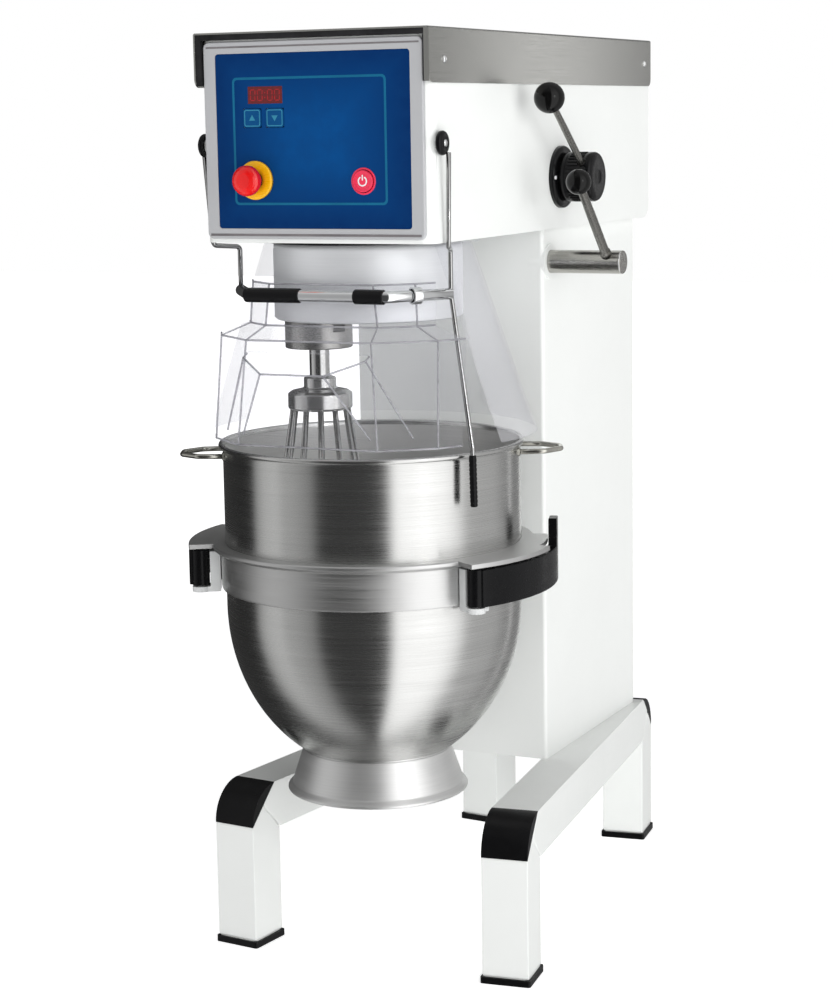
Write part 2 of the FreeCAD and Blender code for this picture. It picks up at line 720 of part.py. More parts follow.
def whisk_head():
    """Whisk stem, its round plate that holds the wires, and the cross pin."""
    axis = tool_axis()
    stem = disc(15.0, WHISK_TOP + 20, HUB_LOW)
    cup = disc(WHISK_PLATE_R, WHISK_TOP - 8, WHISK_TOP + 20)
    cup = fillet(cup, 3.0, lambda centre, box: centre.z > WHISK_TOP + 19)
    collar = disc(24.0, WHISK_TOP + 18, WHISK_TOP + 40)
    tip = polar(WHISK_R, WHISK_TIP_DEG)
    foot = disc(tip.x + 6.0, WHISK_MID + tip.y - 4, WHISK_MID + tip.y + 4)
    head = Part.makeCompound([fused([stem, cup, collar]), foot])
    solids = []
    for solid in head.Solids:
        for wire in whisk_wire_set():
            solid = solid.cut(wire)
        solids.append(solid.Solids[0])
    return at(Part.makeCompound(solids), axis.x, axis.y)


def whisk_wire():
    """One wire: straight from the plate, tangent to the big round, then under to the tip."""
    rise = WHISK_TOP - WHISK_MID
    reach = math.hypot(WHISK_HUB_R, rise)
    lean = math.atan2(rise, WHISK_HUB_R) - math.acos(WHISK_R / reach)

    def on_round(angle):
        return Vector(WHISK_R * math.cos(angle), 0, WHISK_MID + WHISK_R * math.sin(angle))

    tip = math.radians(WHISK_TIP_DEG)
    start = Vector(WHISK_HUB_R, 0, WHISK_TOP)
    path = Part.Wire([Part.LineSegment(start, on_round(lean)).toShape(),
                      Part.Arc(on_round(lean), on_round((lean + tip) / 2), on_round(tip)).toShape()])
    section = Part.Wire(Part.makeCircle(WHISK_WIRE_R, start, on_round(lean).sub(start)))
    return path.makePipeShell([section], True, False)


def whisk_wire_set():
    one = whisk_wire()
    return [turned(one, 360.0 / WHISK_WIRES * index) for index in range(WHISK_WIRES)]


def whisk_wires():
    axis = tool_axis()
    return at(Part.makeCompound(whisk_wire_set()), axis.x, axis.y)


# ---------------------------------------------------------------- bowl

def quarter_ellipse(radius, depth):
    """Edge from the bowl's axis, at its lowest point, out and up to its upright side."""
    curve = Part.Ellipse(Vector(0, 0, BOWL_SIDE_Z - depth), Vector(radius, 0, BOWL_SIDE_Z),
                         Vector(0, 0, BOWL_SIDE_Z))
    low = curve.parameter(Vector(0, 0, BOWL_SIDE_Z - depth))
    side = curve.parameter(Vector(radius, 0, BOWL_SIDE_Z))
    turn = 2 * math.pi
    apart = (side - low) % turn
    start, length = (low, apart) if apart < math.pi else (side, turn - apart)
    return Part.ArcOfEllipse(curve, start, start + length).toShape()


def bowl_solid(radius, depth):
    """The bowl as if it were full, out to the given skin."""
    bottom = Vector(0, 0, BOWL_SIDE_Z - depth)
    side = Vector(radius, 0, BOWL_SIDE_Z)
    top = Vector(radius, 0, RIM_Z)
    centre = Vector(0, 0, RIM_Z)
    straight = [Part.LineSegment(*ends).toShape() for ends in ((side, top), (top, centre), (centre, bottom))]
    outline = Part.Wire(Part.__sortEdges__([quarter_ellipse(radius, depth)] + straight))
    return Part.Face(outline).revolve(ORIGIN, UP, 360)


def bowl_shell():
    shell = bowl_solid(BOWL_R, BOWL_DEPTH)
    rim = Part.makeTorus(BOWL_R + 2.5, 4.0, Vector(0, 0, RIM_Z - 4.0))
    inside = bowl_solid(BOWL_R - BOWL_WALL, BOWL_DEPTH - BOWL_WALL)
    return shell.fuse(rim).cut(inside)


COLLAR_LOW = 588.0
FLANGE_LOW = 649.0
FLANGE_HIGH = 656.0
FLANGE_R = 242.0
EAR_WIDE_R = 277.0
EAR_NARROW_R = 262.0


def bowl_collar():
    """Band and flange round the bowl, with the two ears that the locks hold."""
    band = revolved([(BOWL_R, COLLAR_LOW), (BOWL_R + 6, COLLAR_LOW), (BOWL_R + 7, COLLAR_LOW + 4),
                     (BOWL_R + 7, FLANGE_LOW - 5), (FLANGE_R - 3, FLANGE_LOW - 2), (FLANGE_R, FLANGE_LOW + 1),
                     (FLANGE_R, FLANGE_HIGH - 2), (FLANGE_R - 2, FLANGE_HIGH), (BOWL_R, FLANGE_HIGH)])
    wide = arc_block(BOWL_R + 2, EAR_WIDE_R, -34, 5, FLANGE_LOW, FLANGE_HIGH)
    narrow = arc_block(BOWL_R + 2, EAR_NARROW_R, 0, 27, FLANGE_LOW, FLANGE_HIGH)
    ear = wide.fuse(narrow)
    return fused([band, ear, mirrored(ear)])


def bowl_foot():
    thick = 3.0
    base = [(113.0, 345.0), (133.0, BOWL_FOOT_Z + 6), (137.0, BOWL_FOOT_Z + 4), (137.0, BOWL_FOOT_Z),
            (131.0, BOWL_FOOT_Z), (110.0 - thick, 345.0)]
    return revolved(base).cut(bowl_solid(BOWL_R, BOWL_DEPTH))


def bowl_handles():
    """Two wire loops, opposite each other and turned a little behind the bowl's sides."""
    reach = HANDLE_REACH - 4.0
    z = 788.0
    points = [Vector(BOWL_R - 8, -44, z), Vector(reach - 26, -40, z), Vector(reach, -14, z),
              Vector(reach, 14, z), Vector(reach - 26, 40, z), Vector(BOWL_R - 8, 44, z)]
    loop = bent_rod(points, 4.0, 12.0).cut(bowl_solid(BOWL_R, BOWL_DEPTH))
    return turned(both_sides(loop), HANDLE_TURN)


# ---------------------------------------------------------------- bowl yoke and lift

YOKE_IN = 230.5
YOKE_OUT = 246.0
LEVER_LOW = 592.0
LEVER_HIGH = 646.0


def bowl_yoke():
    """Fork that carries the bowl: an arc open at the front, with the lock pins at its ends."""
    fork = arc_block(YOKE_IN, YOKE_OUT, LOCK_PIVOT_DEG - 2, 182 - LOCK_PIVOT_DEG, 594, 643)
    pieces = [fork]
    pin = polar(LOCK_PIVOT_R, LOCK_PIVOT_DEG)
    lug = fused([disc(13, 582, 590, pin.x, pin.y),
                 arc_block(YOKE_IN, LOCK_PIVOT_R, LOCK_PIVOT_DEG - 2, LOCK_PIVOT_DEG + 5, 582, 590),
                 arc_block(YOKE_IN, YOKE_OUT, LOCK_PIVOT_DEG - 2, LOCK_PIVOT_DEG + 5, 588, 600),
                 disc(LOCK_PIN_R, 586, 640, pin.x, pin.y)])
    pieces += [lug, mirrored(lug)]
    pieces.append(block(-58, 58, 226, COL_FRONT + 16, NECK_LOW, NECK_HIGH - 8).cut(disc(YOKE_IN, 500, 700)))
    return fused(pieces)


def lift_carriage():
    """Slider on the guide rods, with the tall plate whose slot takes the crank's roller."""
    slider = block(-72, 72, COL_FRONT + 16, 340, 562, 702)
    for sx in (-1, 1):
        slider = slider.cut(disc(GUIDE_R + RUNNING, 500, 800, sx * ROD_X, ROD_Y))
    low = LIFT_Y + CRANK * math.cos(math.radians(CRANK_DEG))
    high = LIFT_Y + CRANK
    slot_z = LIFT_Z + CRANK * math.sin(math.radians(CRANK_DEG))
    half = ROLLER_R + 4.5
    slot = fused([block(-20, 20, low, high, slot_z - half, slot_z + half), rod_x(half, -20, 20, low, slot_z),
                  rod_x(half, -20, 20, high, slot_z)])
    plate = fused([block(-8, 4, 336, 366, 600, slot_z), block(-8, 4, 336, 434, slot_z - 32, slot_z + 32)])
    return slider.fuse(plate.cut(slot))


def guide_rods():
    brackets = []
    for z in (388.0, 752.0):
        bracket = block(-72, 72, COL_FRONT + SHEET, 334, z, z + 20)
        for sx in (-1, 1):
            bracket = bracket.cut(disc(GUIDE_R, z - 1, z + 21, sx * ROD_X, ROD_Y))
        brackets.append(bracket)
    rods = [disc(GUIDE_R, 386, 776, sx * ROD_X, ROD_Y) for sx in (-1, 1)]
    return Part.makeCompound(rods + brackets)


def along(start, end, distance):
    step = end.sub(start).normalize()
    return start.add(step.multiply(distance))


LIFT_ROD_START = Vector(262.0, LIFT_Y, LIFT_Z)
LIFT_SHAFT_END = 286.0


def lift_rod():
    length = LIFT_BALL.sub(LIFT_ROD_START).Length
    return rod(7.0, along(LIFT_ROD_START, LIFT_BALL, 6), along(LIFT_ROD_START, LIFT_BALL, length - 6))


def lift_shaft():
    """Cross shaft with its crank and roller."""
    angle = math.radians(CRANK_DEG)
    pin_y = LIFT_Y + CRANK * math.cos(angle)
    pin_z = LIFT_Z + CRANK * math.sin(angle)
    shaft = rod_x(LIFT_SHAFT_R, 10, LIFT_SHAFT_END, LIFT_Y, LIFT_Z)
    shaft = fillet(shaft, 2.0, lambda centre, box: centre.x > LIFT_SHAFT_END - 1)
    web = side_plate([(0, -20), (CRANK, -13), (CRANK, 13), (0, 20)], 10, 24)
    web.rotate(ORIGIN, Vector(1, 0, 0), CRANK_DEG)
    crank = fused([at(web, 0, LIFT_Y, LIFT_Z), rod_x(22, 10, 24, LIFT_Y, LIFT_Z),
                   rod_x(15, 10, 24, pin_y, pin_z), rod_x(ROLLER_R, -12, 12, pin_y, pin_z)])
    return fused([shaft, crank]).cut(lift_rod())


def lift_ball():
    return Part.makeSphere(LIFT_BALL_R, LIFT_BALL).cut(lift_rod())


def lock_lever():
    """Right-hand bowl lock: a bar that hugs the collar, with a thumb tab at its free end."""
    pin = polar(LOCK_PIVOT_R, LOCK_PIVOT_DEG)
    bar = arc_block(262.5, EAR_WIDE_R, LOCK_PIVOT_DEG, 21, LEVER_LOW, LEVER_HIGH)
    knuckle = disc(13.4, LEVER_LOW, LEVER_HIGH, pin.x, pin.y)
    tab = arc_block(264.5, EAR_WIDE_R, 15, 21, LEVER_HIGH - 2, 688)
    lever = fused([bar, knuckle, tab])
    return lever.cut(disc(LOCK_PIN_R + RUNNING, 500, 700, pin.x, pin.y))


# ---------------------------------------------------------------- speed lever

def speed_escutcheon():
    plate = rod_x(48.0, HEAD_HALF, HEAD_HALF + 9.5, SPEED_Y, SPEED_Z)
    plate = fillet(plate, 3.0, lambda centre, box: centre.x > HEAD_HALF + 9)
    return plate.cut(rod_x(12 + RUNNING, HEAD_HALF - 5, HEAD_HALF + 20, SPEED_Y, SPEED_Z))


def speed_rod():
    start = Vector(SPEED_X, SPEED_Y, SPEED_Z)
    length = SPEED_BALL.sub(start).Length
    return rod(5.0, along(start, SPEED_BALL, 18), along(start, SPEED_BALL, length - 8))


def speed_hub():
    """Hand wheel hub, its shaft through the head's wall and the arm that moves the belt drive."""
    hub = rod_x(38.0, HEAD_HALF + 12, 245, SPEED_Y, SPEED_Z)
    hub = fillet(hub, 5.0, lambda centre, box: centre.x > 244)
    shaft = rod_x(12.0, 96, HEAD_HALF + 14, SPEED_Y, SPEED_Z)
    arm = side_plate([(-14, 0), (-9, 62), (9, 62), (14, 0)], 96, 106)
    arm = fused([at(arm, 0, SPEED_Y, SPEED_Z), rod_x(20, 96, 106, SPEED_Y, SPEED_Z)])
    return fused([hub, shaft, arm]).cut(speed_rod())


def speed_ball():
    return Part.makeSphere(SPEED_BALL_R, SPEED_BALL).cut(speed_rod())


# ---------------------------------------------------------------- guard

WIRE_JOG = Vector(170.0, -81.0, 1094.0)
WIRE_BAR = Vector(170.0, -81.0, BAR_Z)
WIRE_RIM = Vector(214.0, -112.0, 815.0)
WIRE_END = Vector(216.0, -113.0, 733.0)


def guard_wire(lower=(WIRE_RIM, WIRE_END)):
    """Right-hand wire: from the knob, in under the head to the bar, then down past the bowl."""
    outside = [Vector(188, PIVOT_Y + 1, PIVOT_Z - 13), Vector(188, -127, 1098)]
    return bent_rod(outside + [WIRE_JOG, WIRE_BAR, *lower], WIRE_R, 7.0)


def guard_frame():
    """Bent wires on both sides, joined by the chromed cross bar; the left one ends at the bar."""
    right = [Vector(110, -165, BAR_Z), WIRE_BAR]
    left = [Vector(-point.x, point.y, point.z) for point in reversed(right)]
    bar = bent_rod(left + right, BAR_R, 22.0)
    return fused([bar, guard_wire(), mirrored(guard_wire(lower=()))])


def guard_knobs():
    """Round knobs with the pins that the guard turns on."""
    outline = [(0, 0), (15, 0), (17, 2), (17, 6), (14, 8.5), (7, 9), (6, 11), (0, 11.5)]
    knob = revolved(outline)
    knob.rotate(ORIGIN, Vector(0, 1, 0), 90)
    knob = at(knob, HEAD_HALF + 2.5, PIVOT_Y, PIVOT_Z)
    pin = rod_x(6.0, HEAD_HALF - 9, HEAD_HALF + 3, PIVOT_Y, PIVOT_Z)
    return both_sides(knob.fuse(pin).cut(guard_wire()))


def guard_bumpers():
    """Plastic sleeve on the right-hand wire's lower end."""
    sleeve = rod(5.5, along(WIRE_RIM, WIRE_END, 10), along(WIRE_RIM, WIRE_END, 84))
    return sleeve.cut(guard_wire())


# Fold directions of the front screen, seen from above: side panels, corner panels, front panel
SIDE_NORMAL = polar(1.0, -30.0)
CORNER_NORMAL = polar(1.0, -51.0)
FRONT_NORMAL = Vector(0, -1, 0)
SCREEN_BACK = 20.0


def meeting_point(normal_a, reach_a, normal_b, reach_b):
    """Where two upright planes, each at its reach from the bowl's axis, cross."""
    cross = normal_a.x * normal_b.y - normal_a.y * normal_b.x
    return Vector((reach_a * normal_b.y - reach_b * normal_a.y) / cross,
                  (normal_a.x * reach_b - normal_b.x * reach_a) / cross, 0)


def both_halves(right, z_of):
    """A closed outline from its right-hand points, front last, each lifted to z_of(point)."""
    outline = right + [Vector(-point.x, point.y, 0) for point in reversed(right)]
    return [Vector(point.x, point.y, z_of(point)) for point in outline]


def screen_outline(side, corner, front, z):
    first = meeting_point(SIDE_NORMAL, side, Vector(0, 1, 0), SCREEN_BACK)
    second = meeting_point(SIDE_NORMAL, side, CORNER_NORMAL, corner)
    third = meeting_point(CORNER_NORMAL, corner, FRONT_NORMAL, front)
    return both_halves([first, second, third], lambda point: z)


def faceted(outlines):
    """A solid with flat faces through outlines that all have the same number of points."""
    faces = [Part.Face(Part.makePolygon(end + end[:1])) for end in (outlines[0], outlines[-1])]
    count = len(outlines[0])
    for low, high in zip(outlines, outlines[1:]):
        for index in range(count):
            after = (index + 1) % count
            for corners in ((low[index], low[after], high[after]), (low[index], high[after], high[index])):
                faces.append(Part.Face(Part.makePolygon(list(corners) + [corners[0]])))
    solid = Part.Solid(Part.Shell(faces))
    if solid.Volume < 0:
        solid.reverse()
    return solid


# Each level of the folded front screen: height, then the reach of its side, corner and front panels
SCREEN_LEVELS = [(SCREEN_LOW, 232.5, 232.1, 208.0), (968.0, 220.4, 216.8, 198.0),
                 (986.0, 177.0, 178.0, 156.0), (1046.0, 172.0, 173.0, 155.0)]


def screen_solid(shrink, grow_z):
    """The space inside the folded screen, drawn smaller by its thickness and longer at both ends."""
    outlines = []
    for level, (z, side, corner, front) in enumerate(SCREEN_LEVELS):
        longer = {0: -grow_z, len(SCREEN_LEVELS) - 1: grow_z}.get(level, 0.0)
        outlines.append(screen_outline(side - shrink, corner - shrink, front - shrink, z + longer))
    return faceted(outlines)


CHUTE_LOW = 834.0
CHUTE_FRONT = 250.0
CHUTE_FRONT_Z = 926.0
CHUTE_SLOPE = 0.47
CHUTE_BACK = 150.0
CHUTE_FOLD = 48.0


def chute_solid(shrink, raise_top):
    """The filling chute, wide at the bowl's rim, with a narrower mouth that slopes to the front."""

    def outline(half, front, z_of):
        corner = CORNER_NORMAL.dot(Vector(half - CHUTE_FOLD, -front, 0)) - shrink
        side = Vector(half - shrink, -CHUTE_BACK, 0)
        fold = meeting_point(Vector(1, 0, 0), half - shrink, CORNER_NORMAL, corner)
        nose = meeting_point(CORNER_NORMAL, corner, FRONT_NORMAL, front - shrink)
        return both_halves([side, fold, nose], z_of)

    def mouth(point):
        return CHUTE_FRONT_Z + raise_top + CHUTE_SLOPE * (point.y + CHUTE_FRONT)

    low = outline(150.0, 210.0, lambda point: CHUTE_LOW + shrink)
    high = outline(98.0, CHUTE_FRONT, mouth)
    return faceted([low, high])


def in_front_of_wires():
    """The space that the screen may fill: its rear edges end just short of the side wires."""
    gap = WIRE_R + 1.5
    low = along(WIRE_BAR, WIRE_RIM, 1.5 * WIRE_RIM.sub(WIRE_BAR).Length)
    edge = [(low.y - gap, low.z), (WIRE_BAR.y - gap, WIRE_BAR.z), (WIRE_BAR.y - gap, PIVOT_Z)]
    return side_plate(edge + [(-300.0, PIVOT_Z), (-300.0, low.z)], -300, 300)


def guard_front_screen():
    """Clear folded screen in front of the tool, with the filling chute let into it."""
    outside = screen_solid(0, 0).fuse(chute_solid(0, 0))
    inside = screen_solid(SCREEN, 1).fuse(chute_solid(SCREEN, 1))
    return outside.cut(inside).common(in_front_of_wires())


def guard_rear_screen():
    """Clear cone fixed under the head, open at the front, with a flared lip over the bowl's rim."""
    top = HEAD_BOTTOM - 6
    outline = [(150, HEAD_BOTTOM), (166, HEAD_BOTTOM), (166, top), (150 + SCREEN, top), (229 + SCREEN, 862),
               (248, SCREEN_LOW + 3), (248, SCREEN_LOW), (245, SCREEN_LOW), (229, 862), (150, top)]
    return revolved(outline).common(block(-300, 300, -62, 300, 700, 1200))


# ---------------------------------------------------------------- output

def save(name, shape):
    shape = shape.copy()
    shape.translate(Vector(0, BOWL_Y, 0))
    shape.exportStep(os.path.join("parts", name + ".step"))
    solids = shape.Solids
    volume = sum(solid.Volume for solid in solids)
    print(f"{name:22s} solids {len(solids):2d} valid {shape.isValid()} volume {volume:12.0f}")


def main():
    os.makedirs("parts", exist_ok=True)
    save("beams", Part.makeCompound([beam(-1), beam(1)]))
    save("legs", on_all_corners(leg()))
    save("corner_caps", on_all_corners(corner_cap()))
    save("foot_caps", on_all_corners(foot_cap()))
    save("base_bolts", base_bolts())
    save("column_floor", column_floor())
    save("column_shell", column_shell())
    save("rear_cover", rear_cover())
    save("mains_gland", mains_gland())
    save("head_shell", head_shell())
    save("top_cover", top_cover())
    save("cover_seal", cover_seal())
    save("cover_screws", cover_screws())
    save("panel_bezel", panel_bezel())
    save("panel_membrane", panel_membrane())
    save("display_window", display_window())
    save("control_board", control_board())
    for name, x in KEY_CENTRES.items():
        save(name, key(x))
    save("start_button", start_button())
    save("estop_collar", estop_collar())
    save("estop_stem", estop_stem())
    save("estop_mushroom", estop_mushroom())
    save("motor", motor())
    save("motor_pulley", motor_pulley())
    save("drive_belt", drive_belt())
    save("layshaft", layshaft())
    save("main_gear", main_gear())
    save("main_shaft", main_shaft())
    save("gear_housing", gear_housing())
    save("main_bearings", main_bearings())
    save("ring_gear", ring_gear())
    save("drum_seal", drum_seal())
    save("planet_drum", planet_drum())
    save("planet_bearings", planet_bearings())
    save("planet_pinion", planet_pinion())
    save("tool_hub", tool_hub())
    save("whisk_head", whisk_head())
    save("whisk_wires", whisk_wires())
    save("bowl_shell", bowl_shell())
    save("bowl_collar", bowl_collar())
    save("bowl_foot", bowl_foot())
    save("bowl_handles", bowl_handles())
    save("bowl_yoke", bowl_yoke())
    save("lift_carriage", lift_carriage())
    save("guide_rods", guide_rods())
    save("lift_shaft", lift_shaft())
    save("lift_rod", lift_rod())
    save("lift_ball", lift_ball())
    save("lock_lever_right", lock_lever())
    save("lock_lever_left", mirrored(lock_lever()))
    save("speed_escutcheon", speed_escutcheon())
    save("speed_hub", speed_hub())
    save("speed_rod", speed_rod())
    save("speed_ball", speed_ball())
    save("guard_frame", guard_frame())
    save("guard_knobs", guard_knobs())
    save("guard_bumpers", guard_bumpers())
    save("guard_front_screen", guard_front_screen())
    save("guard_rear_screen", guard_rear_screen())


main()
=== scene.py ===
import math

import bmesh
import bpy
from mathutils import Matrix, Vector


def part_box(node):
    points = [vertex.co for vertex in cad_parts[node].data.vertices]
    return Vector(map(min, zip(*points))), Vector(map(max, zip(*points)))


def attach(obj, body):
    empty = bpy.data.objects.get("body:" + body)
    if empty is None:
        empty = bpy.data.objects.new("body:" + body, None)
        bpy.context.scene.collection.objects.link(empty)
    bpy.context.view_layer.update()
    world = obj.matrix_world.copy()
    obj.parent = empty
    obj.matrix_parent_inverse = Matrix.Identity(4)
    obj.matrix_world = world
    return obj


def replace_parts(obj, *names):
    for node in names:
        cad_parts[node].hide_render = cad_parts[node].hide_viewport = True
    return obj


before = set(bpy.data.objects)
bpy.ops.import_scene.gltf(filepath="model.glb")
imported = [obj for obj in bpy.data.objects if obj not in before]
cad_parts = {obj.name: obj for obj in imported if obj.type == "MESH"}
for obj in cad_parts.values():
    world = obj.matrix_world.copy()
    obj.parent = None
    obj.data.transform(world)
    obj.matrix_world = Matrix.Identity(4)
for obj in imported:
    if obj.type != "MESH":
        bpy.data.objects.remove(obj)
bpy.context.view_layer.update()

# Everything below is placed about the bowl's upright axis, in millimetres, and mm() turns such a
# place into the frame's metres.
BOWL_LOW, BOWL_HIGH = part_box("bowl_shell")
AXIS_Y = (BOWL_LOW.y + BOWL_HIGH.y) / 2


def mm(x, y, z):
    return Vector((x / 1000, AXIS_Y + y / 1000, z / 1000))


def box_mm(node):
    """A CAD node's lowest and highest corners about the bowl's axis, in millimetres."""
    low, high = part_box(node)
    shift = Vector((0, AXIS_Y, 0))
    return (low - shift) * 1000, (high - shift) * 1000


def centre_mm(node):
    low, high = box_mm(node)
    return (low + high) / 2


# ---------------------------------------------------------------- shader building blocks

class Shader:
    """One material's node tree, with short calls for the nodes that the looks need."""

    def __init__(self, name, colour, roughness, metallic=0.0):
        self.material = bpy.data.materials.new(name)
        self.material.use_nodes = True
        self.material.diffuse_color = (*colour, 1.0)
        self.tree = self.material.node_tree
        self.surface = self.tree.nodes["Principled BSDF"]
        self.colour = colour
        self.roughness = roughness
        self.set(**{"Base Color": (*colour, 1.0), "Roughness": roughness, "Metallic": metallic})

    def set(self, **values):
        for name, value in values.items():
            self.surface.inputs[name.replace("_", " ")].default_value = value
        return self

    def add(self, kind, **properties):
        made = self.tree.nodes.new(kind)
        for name, value in properties.items():
            setattr(made, name, value)
        return made

    def feed(self, source, target):
        """Connects a socket, or sets a plain value."""
        if isinstance(source, bpy.types.NodeSocket):
            self.tree.links.new(source, target)
        else:
            target.default_value = source

    def place(self, scale=(1, 1, 1), offset=(0, 0, 0)):
        """The point on the object, moved and then stretched along each axis."""
        point = self.add("ShaderNodeTexCoord").outputs["Object"]
        moved = self.add("ShaderNodeVectorMath", operation="ADD")
        self.feed(point, moved.inputs[0])
        moved.inputs[1].default_value = offset
        stretched = self.add("ShaderNodeVectorMath", operation="MULTIPLY")
        self.feed(moved.outputs[0], stretched.inputs[0])
        stretched.inputs[1].default_value = scale
        return stretched.outputs[0]

    def math(self, operation, first, second=0.0):
        made = self.add("ShaderNodeMath", operation=operation)
        self.feed(first, made.inputs[0])
        self.feed(second, made.inputs[1])
        return made.outputs[0]

    def around(self, turns, across, centre=(0.0, 0.0)):
        """Cylindrical place about an upright axis: angle, distance and height, each scaled."""
        split = self.add("ShaderNodeSeparateXYZ")
        self.feed(self.place(offset=(-centre[0], -centre[1], 0)), split.inputs[0])
        x, y, z = split.outputs
        joined = self.add("ShaderNodeCombineXYZ")
        squares = [self.math("MULTIPLY", part, part) for part in (x, y)]
        distance = self.math("SQRT", self.math("ADD", *squares))
        self.feed(self.math("MULTIPLY", self.math("ARCTAN2", y, x), turns), joined.inputs[0])
        self.feed(self.math("MULTIPLY", distance, across), joined.inputs[1])
        self.feed(self.math("MULTIPLY", z, across), joined.inputs[2])
        return joined.outputs[0]

    def noise(self, place, scale=1.0, detail=4.0, rough=0.6):
        made = self.add("ShaderNodeTexNoise")
        self.feed(place, made.inputs["Vector"])
        made.inputs["Scale"].default_value = scale
        made.inputs["Detail"].default_value = detail
        made.inputs["Roughness"].default_value = rough
        return made.outputs["Fac"]

    def spread(self, value, low, high, start=0.3, end=0.7):
        """Maps a texture's middle range to low..high."""
        made = self.add("ShaderNodeMapRange")
        self.feed(value, made.inputs["Value"])
        for name, number in (("From Min", start), ("From Max", end), ("To Min", low), ("To Max", high)):
            made.inputs[name].default_value = number
        return made.outputs["Result"]

    def mix(self, factor, first, second):
        made = self.add("ShaderNodeMix", data_type="RGBA")
        self.feed(factor, made.inputs["Factor"])
        for source, target in ((first, made.inputs["A"]), (second, made.inputs["B"])):
            self.feed(source if isinstance(source, bpy.types.NodeSocket) else (*source, 1.0), target)
        return made.outputs["Result"]

    def vary_colour(self, value, darker, lighter=1.0):
        """Colour between two shades of the material's own colour."""
        first = tuple(part * darker for part in self.colour)
        second = tuple(min(1.0, part * lighter) for part in self.colour)
        self.feed(self.mix(value, first, second), self.surface.inputs["Base Color"])
        return self

    def vary_roughness(self, value, low, high):
        self.feed(self.spread(value, low, high), self.surface.inputs["Roughness"])
        return self

    def bump(self, height, strength, distance):
        made = self.add("ShaderNodeBump")
        made.inputs["Strength"].default_value = strength
        made.inputs["Distance"].default_value = distance
        self.feed(height, made.inputs["Height"])
        before = self.surface.inputs["Normal"]
        if before.is_linked:
            self.feed(before.links[0].from_socket, made.inputs["Normal"])
        self.feed(made.outputs["Normal"], before)
        return self

    def edge_wear(self, amount, colour, radius=0.004):
        """Rubbed edges: a bevelled normal that differs from the true one marks an edge."""
        soft = self.add("ShaderNodeBevel", samples=4)
        soft.inputs["Radius"].default_value = radius
        true = self.add("ShaderNodeNewGeometry")
        dot = self.add("ShaderNodeVectorMath", operation="DOT_PRODUCT")
        self.feed(soft.outputs[0], dot.inputs[0])
        self.feed(true.outputs["Normal"], dot.inputs[1])
        edge = self.math("SUBTRACT", 1.0, dot.outputs["Value"])
        patchy = self.math("MULTIPLY", self.spread(edge, 0, 1, 0.0, 0.25),
                           self.spread(self.noise(self.place(), 90.0), 0, amount))
        base = self.surface.inputs["Base Color"]
        before = base.links[0].from_socket if base.is_linked else self.colour
        self.feed(self.mix(patchy, before, colour), base)
        return self

    def tangent(self, axis, turn):
        """Brushing that runs round the object's axis."""
        made = self.add("ShaderNodeTangent", direction_type="RADIAL", axis=axis)
        self.feed(made.outputs[0], self.surface.inputs["Tangent"])
        self.surface.inputs["Anisotropic Rotation"].default_value = turn
        return self


# ---------------------------------------------------------------- materials

def powder_coat(name, colour):
    """Satin powder coat: fine orange peel, faint cloudiness, rubbed edges."""
    made = Shader(name, colour, 0.36)
    cloud = made.noise(made.place(), 3.0, 5.0)
    made.vary_colour(made.spread(cloud, 0, 1), 0.965)
    made.vary_roughness(made.noise(made.place(), 45.0, 3.0), 0.30, 0.42)
    made.bump(made.noise(made.place(), 620.0, 2.0), 0.10, 0.0004)
    made.bump(made.noise(made.place(), 9.0, 2.0), 0.05, 0.002)
    made.edge_wear(0.25, (0.66, 0.66, 0.64), 0.003)
    return made.set(Coat_Weight=0.15, Coat_Roughness=0.25).material


def brushed(name, colour, roughness, scale, anisotropic=0.0, streak=0.10):
    """Brushed metal with straight grain: scale is high across the grain and low along it."""
    made = Shader(name, colour, roughness, 1.0)
    grain = made.noise(made.place(scale=scale), 1.0, 3.0, 0.7)
    made.vary_colour(made.spread(grain, 0, 1), 1 - streak, 1 + streak)
    made.vary_roughness(grain, roughness * 0.8, roughness * 1.3)
    made.bump(grain, 0.10, 0.0002)
    made.bump(made.noise(made.place(), 11.0, 4.0), 0.01, 0.001)
    if anisotropic:
        made.tangent("Z", 0.25)
    return made.set(Anisotropic=anisotropic).material


def spun_steel(name, colour, roughness, centre, anisotropic, fine=900.0, streak=0.10, metallic=1.0):
    """Steel brushed round an upright axis, as a spun bowl is, with handling marks."""
    made = Shader(name, colour, roughness, metallic)
    grain = made.noise(made.around(1.2, fine, centre), 1.0, 3.0, 0.75)
    broad = made.noise(made.around(0.5, fine / 14, centre), 1.0, 2.0, 0.5)
    both = made.math("ADD", made.math("MULTIPLY", grain, 0.7), made.math("MULTIPLY", broad, 0.3))
    made.vary_colour(made.spread(both, 0, 1, 0.35, 0.65), 1 - streak, 1 + streak)
    made.vary_roughness(both, roughness * 0.8, roughness * 1.35)
    made.bump(grain, 0.07, 0.0002)
    made.tangent("Z", 0.25)
    return made.set(Anisotropic=anisotropic).material


def turned_steel(name, colour, roughness):
    """Machined steel with fine tool marks and a faint oily bloom."""
    made = Shader(name, colour, roughness, 1.0)
    marks = made.noise(made.place(scale=(300, 300, 1500)), 1.0, 2.0, 0.6)
    bloom = made.noise(made.place(), 24.0, 5.0)
    made.vary_colour(made.spread(bloom, 0, 1), 0.82, 1.08)
    made.vary_roughness(marks, roughness * 0.75, roughness * 1.4)
    made.bump(marks, 0.08, 0.0002)
    return made.material


def chrome(name):
    made = Shader(name, (0.86, 0.87, 0.88), 0.035, 1.0)
    haze = made.noise(made.place(), 60.0, 5.0)
    made.vary_colour(made.spread(haze, 0, 1), 0.96)
    made.vary_roughness(haze, 0.02, 0.07)
    made.bump(made.noise(made.place(), 30.0, 2.0), 0.015, 0.0005)
    return made.material


